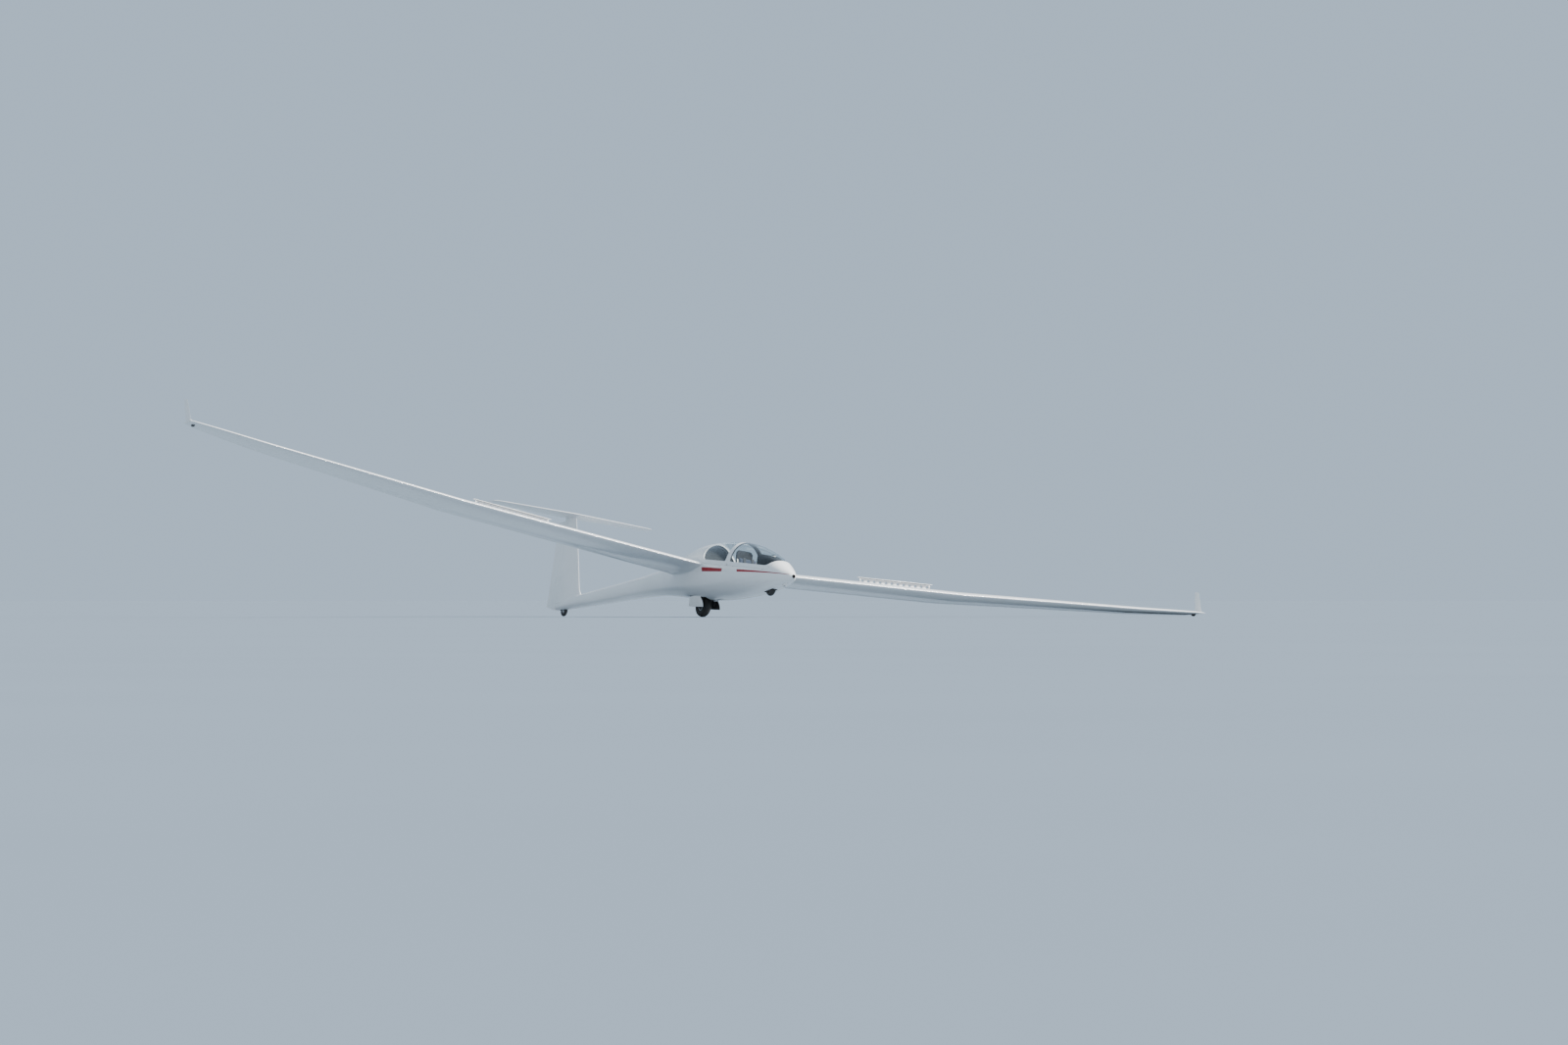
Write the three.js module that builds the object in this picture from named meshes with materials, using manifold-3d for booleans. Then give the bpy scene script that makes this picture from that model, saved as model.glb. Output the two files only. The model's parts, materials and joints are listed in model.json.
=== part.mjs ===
// A two-seat glass-fibre sailplane of 20 m span with a T-tail, winglets and upper-surface airbrakes,
// parked on its main wheel, its tail wheel and the skid of its lower (port) wing tip.
// Sizes are in millimetres. In the aircraft's own axes x is forward, y is to port and z is up, all from
// a datum 78 mm ahead of the nose tip. A "station" is a distance aft of the datum, so x = -station.
import * as THREE from "three";
import { mergeVertices } from "three/addons/utils/BufferGeometryUtils.js";
import Module from "manifold-3d";

const wasm = await Module();
wasm.setup();

// Driving dimensions
const SPAN_HALF = 9990;
const HINGE_GAP = 6; // between a control surface's rounded nose and the cove that it turns in
const SEAM = 0.3; // between two fixed pieces that touch
const HULL_WALL = 16;
const CANOPY_FRAME_THICK = 24;
const CANOPY_GLASS_THICK = 6;

// Finishes
const WHITE_GELCOAT = new THREE.MeshStandardMaterial({ color: 0xf2f2ee, roughness: 0.2, metalness: 0 });
const CLEAR_ACRYLIC = new THREE.MeshStandardMaterial({
  color: 0xb9c8cf, roughness: 0.05, metalness: 0, transparent: true, opacity: 0.3,
});
const TYRE_RUBBER = new THREE.MeshStandardMaterial({ color: 0x16161a, roughness: 0.85, metalness: 0 });
const WHEEL_METAL = new THREE.MeshStandardMaterial({ color: 0xb4b6b8, roughness: 0.35, metalness: 0.9 });
const GREY_STEEL = new THREE.MeshStandardMaterial({ color: 0x55585c, roughness: 0.5, metalness: 0.4 });
const BRAKE_ALLOY = new THREE.MeshStandardMaterial({ color: 0xa9adb2, roughness: 0.4, metalness: 0.8 });
const DARK_TRIM = new THREE.MeshStandardMaterial({ color: 0x1b1c1f, roughness: 0.7, metalness: 0 });
const SEAT_SHELL = new THREE.MeshStandardMaterial({ color: 0xc9cac6, roughness: 0.5, metalness: 0 });
const SEAT_CLOTH = new THREE.MeshStandardMaterial({ color: 0x34405a, roughness: 0.95, metalness: 0 });

// Solids

// A closed geometry as a manifold solid, with its faces turned outwards.
function solid(geometry) {
  const bare = new THREE.BufferGeometry().setAttribute("position", geometry.getAttribute("position"));
  bare.setIndex(geometry.index);
  const merged = mergeVertices(bare, 1e-3);
  const corners = Array.from(merged.index.array);
  const kept = [];
  for (let i = 0; i < corners.length; i += 3) {
    const [a, b, c] = corners.slice(i, i + 3);
    if (a !== b && b !== c && c !== a) kept.push(a, b, c);
  }
  const made = (triVerts) => new wasm.Manifold(new wasm.Mesh({
    numProp: 3, vertProperties: merged.getAttribute("position").array, triVerts: new Uint32Array(triVerts),
  }));
  const first = made(kept);
  return first.volume() > 0 ? first : made(kept.reverse());
}

function geometryOf(manifold) {
  const mesh = manifold.getMesh();
  return new THREE.BufferGeometry()
    .setAttribute("position", new THREE.BufferAttribute(new Float32Array(mesh.vertProperties), 3))
    .setIndex(new THREE.BufferAttribute(new Uint32Array(mesh.triVerts), 1));
}

// A skin over rings of the same number of points, closed at both ends by a fan round each end's middle.
function loft(rings) {
  const count = rings[0].length;
  const points = rings.flat();
  const middle = (ring) => ring
    .reduce((sum, p) => [sum[0] + p[0] / count, sum[1] + p[1] / count, sum[2] + p[2] / count], [0, 0, 0]);
  const first = points.length;
  points.push(middle(rings[0]), middle(rings.at(-1)));
  const faces = [];
  const lastRing = (rings.length - 1) * count;
  for (let i = 0; i < count; i++) {
    const next = (i + 1) % count;
    for (let base = 0; base < lastRing; base += count) {
      faces.push(base + i, base + next, base + count + next);
      faces.push(base + i, base + count + next, base + count + i);
    }
    faces.push(first, next, i);
    faces.push(first + 1, lastRing + i, lastRing + next);
  }
  return solid(new THREE.BufferGeometry()
    .setAttribute("position", new THREE.Float32BufferAttribute(points.flat(), 3))
    .setIndex(faces));
}

// A side view outline, given as [station, height] pairs, extruded across the aircraft from y0 to y1.
function sidePrism(outline, y0, y1) {
  const shape = new THREE.Shape(outline.map(([station, z]) => new THREE.Vector2(-station, z)));
  const made = new THREE.ExtrudeGeometry(shape, { depth: y1 - y0, bevelEnabled: false, curveSegments: 8 });
  return solid(made.rotateX(Math.PI / 2).translate(0, y1, 0));
}

function box(stations, widths, heights) {
  const [s0, s1] = stations;
  return sidePrism([[s0, heights[0]], [s1, heights[0]], [s1, heights[1]], [s0, heights[1]]], ...widths);
}

// A round bar between two points given as [station, y, z].
function bar(from, to, radius, sides = 12) {
  const [a, b] = [from, to].map(([s, y, z]) => new THREE.Vector3(-s, y, z));
  const along = b.clone().sub(a);
  const made = new THREE.CylinderGeometry(radius, radius, along.length(), sides);
  made.applyQuaternion(new THREE.Quaternion().setFromUnitVectors(new THREE.Vector3(0, 1, 0), along.normalize()));
  return solid(made.translate(...a.add(b).multiplyScalar(0.5).toArray()));
}

// A ring turned about the y axis from [radius, y] pairs that close on themselves, moved to its centre.
function turned(profile, station, z, segments) {
  const closed = [...profile, profile[0]].map(([r, y]) => new THREE.Vector2(r, y));
  return solid(new THREE.LatheGeometry(closed, segments).translate(-station, 0, z));
}

const moved = (manifold, x, y, z) => solid(geometryOf(manifold).translate(x, y, z));
const joined = (...manifolds) => manifolds.reduce((all, next) => all.add(next));

// Cuts a piece by a neighbour, and by the same neighbour moved a seam's width, so that the two don't touch.
// Of what the cut leaves, the largest body is kept.
function cutBy(piece, neighbour, [x, y, z]) {
  const left = piece.subtract(neighbour).subtract(moved(neighbour, x * SEAM, y * SEAM, z * SEAM));
  return left.decompose().sort((a, b) => b.volume() - a.volume())[0];
}

const aircraft = new THREE.Group();

function add(name, manifold, material) {
  const mesh = new THREE.Mesh(geometryOf(manifold), material);
  mesh.name = name;
  aircraft.add(mesh);
  return mesh;
}

const NOSE_TIP = 78;

// Fuselage lines: station, keel height, top height, half width, height of the widest point
const FUSELAGE = [
  [NOSE_TIP, -35, 25, 31, -5],
  [98, -56, 44, 52, -3],
  [140, -82, 80, 83, 5],
  [200, -104, 128, 119, 18],
  [300, -129, 203, 176, 40],
  [520, -166, 332, 252, 78],
  [800, -194, 455, 308, 115],
  [1150, -222, 580, 342, 152],
  [1600, -235, 686, 358, 192],
  [2100, -232, 744, 365, 222],
  [2650, -204, 770, 362, 250],
  [3100, -159, 750, 342, 268],
  [3500, -105, 686, 302, 272],
  [3900, -44, 580, 246, 262],
  [4350, 8, 484, 200, 246],
  [4900, 32, 428, 177, 230],
  [5600, 38, 380, 157, 209],
  [6600, 38, 324, 132, 181],
  [7500, 39, 272, 108, 156],
  [8100, 43, 244, 76, 144],
  [8345, 54, 232, 50, 141],
];
const FUSELAGE_LINES = new THREE.CubicInterpolant(
  FUSELAGE.map((row) => row[0]), FUSELAGE.flatMap((row) => row.slice(1)), 4,
);
const ROUNDNESS_ABOVE = 2.05;
const ROUNDNESS_BELOW = 2.25;

// The outline at one station, drawn in by a wall's thickness.
function fuselageRing(station, wall = 0, count = 28) {
  const [keel, top, half, widest] = FUSELAGE_LINES.evaluate(station);
  return Array.from({ length: count }, (_, i) => {
    const turn = (2 * Math.PI * i) / count;
    const [c, s] = [Math.cos(turn), Math.sin(turn)];
    const power = 2 / (s > 0 ? ROUNDNESS_ABOVE : ROUNDNESS_BELOW);
    const rise = s > 0 ? top - wall - widest : widest - keel - wall;
    return [
      -station,
      (half - wall) * Math.sign(c) * Math.abs(c) ** power,
      widest + rise * Math.sign(s) * Math.abs(s) ** power,
    ];
  });
}

const fuselageBody = (stations, wall = 0, count = 28) =>
  loft(stations.map((station) => fuselageRing(station, wall, count)));

// Wings: y, leading edge station, leading edge height, chord, thickness ratio, incidence in degrees
const WING = [
  [420, 2612, 356, 1090, 0.158, 3.5],
  [4900, 2650, 672, 990, 0.155, 3.9],
  [8600, 2760, 1033, 665, 0.145, 3],
  [9300, 2800, 1113, 530, 0.145, 3],
  [9750, 2836, 1164, 425, 0.138, 2.5],
  [9930, 2858, 1185, 345, 0.125, 2],
  [SPAN_HALF, 2890, 1191, 275, 0.09, 1.5],
];
const WING_LINES = new THREE.LinearInterpolant(
  WING.map((row) => row[0]), WING.flatMap((row) => row.slice(1)), 5,
);
const WING_CAMBER = 0.03;
const TRAILING_EDGE_HALF = 1.5;

// Half the thickness of a laminar section at a share x of its chord, as a share of the chord.
const laminarHalf = (x, ratio) => (ratio / 2 / 0.6913) * Math.sqrt(x) * (1 - x) ** 1.5 * (1 + 3.37 * x);
const camberAt = (x, camber) => 4 * camber * x * (1 - x);

// Shares of the chord from 1 to 0, closer together near the leading edge.
const chordShares = (from, to, steps) =>
  Array.from({ length: steps + 1 }, (_, i) => from + ((to - from) * (1 - Math.cos((Math.PI * i) / steps))) / 2);

// An aerofoil as [chordwise mm, height mm] pairs: over the top from the trailing edge, and back below.
function aerofoil(chord, ratio, camber, steps = 11) {
  const at = (x, side) => [
    x * chord,
    camberAt(x, camber) * chord + side * Math.max(laminarHalf(x, ratio) * chord, x > 0.5 ? TRAILING_EDGE_HALF : 0),
  ];
  const over = chordShares(1, 0, steps).map((x) => at(x, 1));
  const under = chordShares(0, 1, steps).slice(1).map((x) => at(x, -1));
  return [...over, ...under];
}

// A control surface's section behind its hinge: a round nose about the hinge, then the aerofoil's tail.
function surfaceSection(chord, ratio, camber, hinge, steps = 4) {
  const radius = laminarHalf(hinge, ratio) * chord;
  const middle = camberAt(hinge, camber) * chord;
  const tail = (from, to, side) => chordShares(from, to, steps).map((x) => [
    x * chord,
    camberAt(x, camber) * chord + side * Math.max(laminarHalf(x, ratio) * chord, TRAILING_EDGE_HALF),
  ]);
  const nose = Array.from({ length: 5 }, (_, i) => {
    const turn = Math.PI / 2 + (Math.PI * (i + 1)) / 6;
    return [hinge * chord + radius * Math.cos(turn), middle + radius * Math.sin(turn)];
  });
  return [...tail(1, hinge, 1), ...nose, ...tail(hinge, 1, -1)];
}

// The room that a control surface turns in: its nose grown by the gap, open to the rear.
function coveSection(chord, ratio, camber, hinge, beyond = 80) {
  const radius = laminarHalf(hinge, ratio) * chord + HINGE_GAP;
  const middle = camberAt(hinge, camber) * chord;
  const nose = Array.from({ length: 9 }, (_, i) => {
    const turn = Math.PI / 2 + (Math.PI * i) / 8;
    return [hinge * chord + radius * Math.cos(turn), middle + radius * Math.sin(turn)];
  });
  return [...nose, [chord + beyond, middle - radius], [chord + beyond, middle + radius]];
}

// A section of the port wing, placed at y and turned nose up by its incidence. A lean tips the section so
// that it is square to a hinge which rises with the dihedral.
function wingRing(y, section, lean = 0) {
  const [edge, height, chord, ratio, incidence] = WING_LINES.evaluate(Math.min(y, SPAN_HALF));
  const turn = THREE.MathUtils.degToRad(incidence);
  return section(chord, ratio).map(([along, up]) => [
    -(edge + along * Math.cos(turn) - up * Math.sin(turn)),
    y - lean * up,
    height - along * Math.sin(turn) + up * Math.cos(turn),
  ]);
}
const wingBody = (ys, section = (chord, ratio) => aerofoil(chord, ratio, WING_CAMBER), lean = 0) =>
  loft(ys.map((y) => wingRing(y, section, lean)));

// The starboard side's piece is the port side's, seen in the plane of symmetry.
const mirrored = (manifold) => solid(geometryOf(manifold).scale(1, -1, 1));
const SIDES = [["port", (piece) => piece], ["starboard", mirrored]];

// Cockpit and canopy outlines in side view
const sillHeight = (station) => 180 + 0.129 * (station - 574); // lower edge of the glass
const RAIL = 66; // height of a canopy frame's rail below its glass
const CANOPY_SPLIT = 1760; // between the front and the rear canopy
const OVER = 900; // a height above every canopy
const CANOPY_GAP = 6;
const FRONT_GLASS = [
  [600, sillHeight(600)], [1655, sillHeight(1655)], [1682, sillHeight(1682) + 12],
  [1690, sillHeight(1690) + 50], [1700, 600], [1712, OVER], [200, OVER], [400, 330], [455, 290], [505, 257],
];
const REAR_GLASS = [
  [1845, sillHeight(1845)], [2560, sillHeight(2560)], [2612, sillHeight(2612) + 14], [2655, 490],
  [2690, 560], [2712, 640], [2722, OVER], [1806, OVER], [1812, 600], [1826, sillHeight(1826) + 40],
];
const FRONT_FRAME = [
  [560, sillHeight(560) - RAIL], [CANOPY_SPLIT - CANOPY_GAP / 2, sillHeight(CANOPY_SPLIT) - RAIL],
  [CANOPY_SPLIT - CANOPY_GAP / 2, OVER], [160, OVER], [369, 285], [424, 245], [471, 214],
];
const REAR_FRAME = [
  [CANOPY_SPLIT + CANOPY_GAP / 2, sillHeight(CANOPY_SPLIT) - RAIL], [2600, sillHeight(2600) - RAIL],
  [2690, 440], [2752, 540], [2782, 660], [2790, OVER], [CANOPY_SPLIT + CANOPY_GAP / 2, OVER],
];
const COCKPIT_OPENING = [
  [556, sillHeight(556) - RAIL - CANOPY_GAP], [2604, sillHeight(2604) - RAIL - CANOPY_GAP],
  [2696, 436], [2758, 538], [2788, 660], [2796, OVER], [150, OVER], [364, 280], [420, 240], [467, 209],
];
const CANOPY_SPAN = [360, 410, 460, 540, 640, 760, 900, 1060, 1240, 1450, 1700, 1950, 2200, 2450, 2650, 2820];

function canopy(prefix, glass, frame) {
  const outside = fuselageBody(CANOPY_SPAN);
  const glassSkin = outside.subtract(fuselageBody(CANOPY_SPAN, CANOPY_GLASS_THICK));
  const frameSkin = outside.subtract(fuselageBody(CANOPY_SPAN, CANOPY_FRAME_THICK));
  const window = sidePrism(glass, -600, 600);
  add(prefix + "_canopy_frame", frameSkin.intersect(sidePrism(frame, -600, 600)).subtract(window), WHITE_GELCOAT);
  const inset = new THREE.Vector2(glass.reduce((sum, p) => sum + p[0], 0) / glass.length, 480);
  const drawnIn = glass.map(([station, z]) => [
    station + 0.5 * Math.sign(inset.x - station),
    z + 0.5 * (z < inset.y ? 1 : 0),
  ]);
  add(prefix + "_canopy_glass", glassSkin.intersect(sidePrism(drawnIn, -600, 600)), CLEAR_ACRYLIC);
}
canopy("front", FRONT_GLASS, FRONT_FRAME);
canopy("rear", REAR_GLASS, REAR_FRAME);

// Wheels: station, height of the axle, tyre radius, tyre width, rim radius
const MAIN_WHEEL = { station: 3057, z: -272, radius: 190, width: 145, rim: 82 };
const NOSE_WHEEL = { station: 800, z: -149, radius: 130, width: 84, rim: 52 };
const TAIL_WHEEL = { station: 8040, z: 32, radius: 100, width: 56, rim: 42 };

// A tyre's section: a round crown and shoulders down to the beads on the rim.
function tyre(wheel, segments) {
  const half = wheel.width / 2;
  const depth = wheel.radius - wheel.rim;
  const arc = Array.from({ length: 7 }, (_, i) => {
    const turn = (Math.PI * (i - 3)) / 7;
    return [wheel.rim + depth * (0.36 + 0.64 * Math.cos(turn) ** 0.75), half * Math.sin(turn)];
  });
  const beads = [[wheel.rim, half * 0.72], [wheel.rim, -half * 0.72]];
  return turned([...arc, ...beads], wheel.station, wheel.z, segments);
}

// A rim with its disc and hub, bored for the axle.
function rim(wheel, bore, segments) {
  const half = wheel.width * 0.36;
  const outer = wheel.rim - SEAM;
  const profile = [
    [bore, -half * 0.95], [bore * 1.9, -half * 0.95], [bore * 2.0, -half * 0.35], [outer * 0.8, -half * 0.3],
    [outer * 0.86, -half], [outer, -half], [outer, half], [outer * 0.86, half], [outer * 0.8, half * 0.3],
    [bore * 2.0, half * 0.35], [bore * 1.9, half * 0.95], [bore, half * 0.95],
  ];
  return turned(profile, wheel.station, wheel.z, segments);
}

const AXLES = { main: 12.5, nose: 9, tail: 7 };
const BORE_PLAY = 0.6;
const wheelParts = [
  ["main", MAIN_WHEEL, 30], ["nose", NOSE_WHEEL, 22], ["tail", TAIL_WHEEL, 20],
];
for (const [name, wheel, segments] of wheelParts) {
  add(name + "_tyre", tyre(wheel, segments), TYRE_RUBBER);
  add(name + "_rim", rim(wheel, AXLES[name] + BORE_PLAY, segments), WHEEL_METAL);
}
const axle = (name, wheel, half) =>
  bar([wheel.station, -half, wheel.z], [wheel.station, half, wheel.z], AXLES[name], 16);

// Fuselage pod: nose, cockpit shell, wheel wells and wing root fairings
const POD_STATIONS = [
  NOSE_TIP, 98, 130, 180, 270, 380, 500, 640, 800, 980, 1200, 1450, 1750, 2100, 2450, 2750, 3050, 3350, 3650, 4000,
];
const COCKPIT_STATIONS = [150, 230, 330, 450, 600, 780, 980, 1200, 1450, 1750, 2100, 2450, 2690];
const ROOT_FAIRING = [ // y, growth of chord, growth of thickness
  [420, 1, 1], [385, 1.012, 1.05], [350, 1.04, 1.16], [310, 1.09, 1.35], [200, 1.1, 1.45],
];
const INTAKE_RADIUS = 27;
const MAIN_WELL = { stations: [2745, 3300], half: 152, roof: 150 };
const NOSE_WELL = { stations: [655, 945], half: 55, roof: 0, wall: 6 };

function rootFairing() {
  const rings = ROOT_FAIRING.map(([y, longer, thicker]) => {
    const [edge, height, chord, ratio, incidence] = WING_LINES.evaluate(WING[0][0]);
    const turn = THREE.MathUtils.degToRad(incidence);
    return aerofoil(chord * longer, ratio * thicker / longer, WING_CAMBER).map(([along, up]) => {
      const shifted = along - chord * (longer - 1) * 0.45;
      return [-(edge + shifted * Math.cos(turn) - up * Math.sin(turn)), y,
        height - (WING[0][0] - y) * 0.03 - shifted * Math.sin(turn) + up * Math.cos(turn)];
    });
  });
  return loft(rings);
}

const podSkin = fuselageBody(POD_STATIONS);
const fairing = rootFairing();
const cockpitRoom = fuselageBody(COCKPIT_STATIONS, HULL_WALL);
const mainWell = box(MAIN_WELL.stations, [-MAIN_WELL.half, MAIN_WELL.half], [-400, MAIN_WELL.roof]);
const noseWell = box(NOSE_WELL.stations, [-NOSE_WELL.half, NOSE_WELL.half], [-400, NOSE_WELL.roof]);
const intakeBar = (ahead, behind, radius) => bar([NOSE_TIP - ahead, 0, -5], [NOSE_TIP + behind, 0, -5], radius, 24);
const pod = joined(podSkin, fairing, mirrored(fairing))
  .subtract(cockpitRoom)
  .subtract(sidePrism(COCKPIT_OPENING, -600, 600))
  .subtract(mainWell)
  .subtract(noseWell)
  .subtract(intakeBar(20, 60, INTAKE_RADIUS + SEAM));
add("fuselage_pod", pod, WHITE_GELCOAT);

add("nose_air_intake", intakeBar(3, 50, INTAKE_RADIUS).subtract(intakeBar(20, 30, 19)), DARK_TRIM);

// Tail boom, fin and rudder
const BOOM_STATIONS = [4000 + SEAM, 4250, 4600, 5100, 5700, 6400, 7100, 7600, 8000, 8220, 8345];
const TAIL_SLOT = { stations: [7925, 8155], half: 36, roof: 148 };
// Fin: height, leading edge station, trailing edge station, thickness ratio
const FIN = [
  [170, 7420, 8712, 0.125],
  [290, 7490, 8690, 0.118],
  [370, 7552, 8682, 0.112],
  [520, 7598, 8668, 0.11],
  [1030, 7738, 8622, 0.112],
  [1400, 7852, 8590, 0.115],
  [1745, 7958, 8562, 0.12],
];
const FIN_LINES = new THREE.LinearInterpolant(FIN.map((row) => row[0]), FIN.flatMap((row) => row.slice(1)), 3);
const RUDDER_HINGE = { low: [8372, 60], high: [8290, 1745] }; // station and height of two points on the axis
const RUDDER_HEIGHTS = [64, 290, 520, 1030, 1645];
const RUDDER_FOOT_SLOPE = 0.25; // the rudder's lower edge rises towards its trailing edge
const hingeStation = (z) => THREE.MathUtils.mapLinear(
  z, RUDDER_HINGE.low[1], RUDDER_HINGE.high[1], RUDDER_HINGE.low[0], RUDDER_HINGE.high[0],
);

function finRing(z, section, footSlope = 0) {
  const [edge, tail, ratio] = FIN_LINES.evaluate(Math.max(z, FIN[0][0]));
  const chord = tail - edge;
  const hinge = (hingeStation(z) - edge) / chord;
  return section(chord, ratio, hinge).map(([along, side]) => [
    -(edge + along), side, z + footSlope * Math.max(0, edge + along - hingeStation(z)),
  ]);
}
const finWhole = loft(FIN.map(([z]) => finRing(z, (chord, ratio) => aerofoil(chord, ratio, 0))));
const rudderCove = loft([20, 290, 520, 1030, 1800].map((z) =>
  finRing(z, (chord, ratio, hinge) => coveSection(chord, ratio, 0, hinge))));
const rudder = loft(RUDDER_HEIGHTS.map((z, i) =>
  finRing(z, (chord, ratio, hinge) => surfaceSection(chord, ratio, 0, hinge), i ? 0 : RUDDER_FOOT_SLOPE)));
add("rudder", rudder, WHITE_GELCOAT);

const tailSlot = box(TAIL_SLOT.stations, [-TAIL_SLOT.half, TAIL_SLOT.half], [-100, TAIL_SLOT.roof]);
const boom = fuselageBody(BOOM_STATIONS).subtract(rudderCove).subtract(tailSlot);
add("tail_boom", boom, WHITE_GELCOAT);

// Tailplane and elevator: y, leading edge station, trailing edge station, thickness ratio
const TAILPLANE_Z = 1738;
const TAILPLANE = [
  [0, 7868, 8490, 0.12],
  [1400, 7975, 8365, 0.12],
  [1545, 8000, 8345, 0.11],
  [1590, 8060, 8320, 0.09],
];
const TAILPLANE_LINES = new THREE.LinearInterpolant(
  TAILPLANE.map((row) => row[0]), TAILPLANE.flatMap((row) => row.slice(1)), 3,
);
const ELEVATOR_HINGE = 8275;
const ELEVATOR_HALF = 1480;
const ELEVATOR_CHORD_SLACK = 60;

function tailplaneRing(y, section) {
  const [edge, tail, ratio] = TAILPLANE_LINES.evaluate(Math.abs(y));
  const chord = tail - edge;
  return section(chord, ratio, (ELEVATOR_HINGE - edge) / chord)
    .map(([along, up]) => [-(edge + along), y, TAILPLANE_Z + up]);
}
const bothSides = (ys) => [...ys.slice(1).reverse().map((y) => -y), ...ys];
const elevator = loft(bothSides([0, 1400, ELEVATOR_HALF]).map((y) =>
  tailplaneRing(y, (chord, ratio, hinge) => surfaceSection(chord, ratio, 0, hinge))));
add("elevator", elevator, WHITE_GELCOAT);
const elevatorCove = loft(bothSides([0, 1400, ELEVATOR_HALF + HINGE_GAP]).map((y) =>
  tailplaneRing(y, (chord, ratio, hinge) => coveSection(chord, ratio, 0, hinge, ELEVATOR_CHORD_SLACK))));
const tailplaneWhole = loft(bothSides(TAILPLANE.map((row) => row[0])).map((y) =>
  tailplaneRing(y, (chord, ratio) => aerofoil(chord, ratio, 0))));
const tailplane = tailplaneWhole.subtract(elevatorCove);
add("tailplane", tailplane, WHITE_GELCOAT);
const finCut = cutBy(finWhole.subtract(rudderCove), fuselageBody(BOOM_STATIONS), [0, 0, 1]);
const fin = cutBy(finCut.subtract(elevatorCove), tailplaneWhole, [0, 0, -1]);
add("fin", fin, WHITE_GELCOAT);

// Total-energy probe on the fin's leading edge: a thin tube that ends in a bent-down tip.
const PROBE = { root: [7860, 1326], bend: [7365, 1331], tip: [7300, 1246], radius: 7 };
const probe = joined(
  bar([PROBE.root[0], 0, PROBE.root[1]], [PROBE.bend[0] - 4, 0, PROBE.bend[1] + 0.04], PROBE.radius, 10),
  bar([PROBE.bend[0] + 3, 0, PROBE.bend[1] + 4], [PROBE.tip[0], 0, PROBE.tip[1]], PROBE.radius * 0.85, 10),
);
add("variometer_probe", cutBy(probe, finWhole, [1, 0, 0]), GREY_STEEL);

// Wing panels, tips, winglets, ailerons and airbrakes
const AILERON = { from: 5240, to: 8530, hinge: 0.79 };
const PANEL_END = 8600;
const BRAKE = {
  from: 3035, to: 4530, share: 0.53, // span of the cap, and its place on the chord
  capWidth: 46, capThick: 6, bladeThick: 12, bladeHigh: 120, inset: 36, travel: 120, clear: 6,
};
const brakeTilt = Math.atan2(WING[1][2] - WING[0][2], WING[1][0] - WING[0][0]);

// A box square to the inner wing panel, given by its span, its chordwise width and its heights over the skin.
function brakeBlock(y0, y1, width, low, high) {
  const y = (BRAKE.from + BRAKE.to) / 2;
  const [edge, height, chord, ratio, incidence] = WING_LINES.evaluate(y);
  const turn = THREE.MathUtils.degToRad(incidence);
  const up = (camberAt(BRAKE.share, WING_CAMBER) + laminarHalf(BRAKE.share, ratio)) * chord;
  const made = new THREE.BoxGeometry(width, y1 - y0, high - low)
    .translate(0, (y0 + y1) / 2 - y, (low + high) / 2)
    .rotateX(brakeTilt)
    .translate(-(edge + BRAKE.share * chord), y, height - BRAKE.share * chord * Math.sin(turn) + up);
  return solid(made);
}
const { capThick, bladeHigh, travel, clear, inset } = BRAKE;
const brakeRoom = joined(
  brakeBlock(BRAKE.from - clear, BRAKE.to + clear, BRAKE.capWidth + 2 * clear, -capThick - clear, 40),
  brakeBlock(BRAKE.from + inset - clear, BRAKE.to - inset + clear, BRAKE.bladeThick + 2 * clear,
    -capThick - bladeHigh - clear, 40),
);
const brakeCap = brakeBlock(BRAKE.from, BRAKE.to, BRAKE.capWidth, travel - capThick, travel);
const brakeBlade = brakeBlock(BRAKE.from + inset, BRAKE.to - inset, BRAKE.bladeThick,
  travel - capThick - bladeHigh, travel - capThick - SEAM);

const aileronLean = (WING[2][2] - WING[1][2]) / (WING[2][0] - WING[1][0]);
const aileron = wingBody([AILERON.from, AILERON.to], (chord, ratio) =>
  surfaceSection(chord, ratio, WING_CAMBER, AILERON.hinge), aileronLean);
const aileronCove = wingBody([AILERON.from - HINGE_GAP, AILERON.to + HINGE_GAP], (chord, ratio) =>
  coveSection(chord, ratio, WING_CAMBER, AILERON.hinge), aileronLean);
const wingPanel = wingBody([WING[0][0] + SEAM, WING[1][0], PANEL_END - SEAM / 2])
  .subtract(aileronCove)
  .subtract(brakeRoom);
const wingTip = wingBody([PANEL_END + SEAM / 2, ...WING.slice(3).map((row) => row[0])]);

// Winglet: height over the wing tip's leading edge, y, leading edge station, chord, thickness ratio
const WINGLET = [
  [0, 9936, 2940, 224, 0.22],
  [24, 9948, 2958, 208, 0.15],
  [60, 9954, 2980, 194, 0.12],
  [110, 9959, 3003, 180, 0.1],
  [300, 9970, 3092, 143, 0.1],
  [392, 9976, 3138, 122, 0.1],
  [402, 9977, 3154, 102, 0.06],
];
const winglet = loft(WINGLET.map(([rise, y, edge, chord, ratio]) =>
  aerofoil(chord, ratio, 0, 8).map(([along, side]) => [-(edge + along), y + side, WING[5][2] + rise])));
const wingletFitted = cutBy(winglet, wingTip, [0, 0, 1]);

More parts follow.
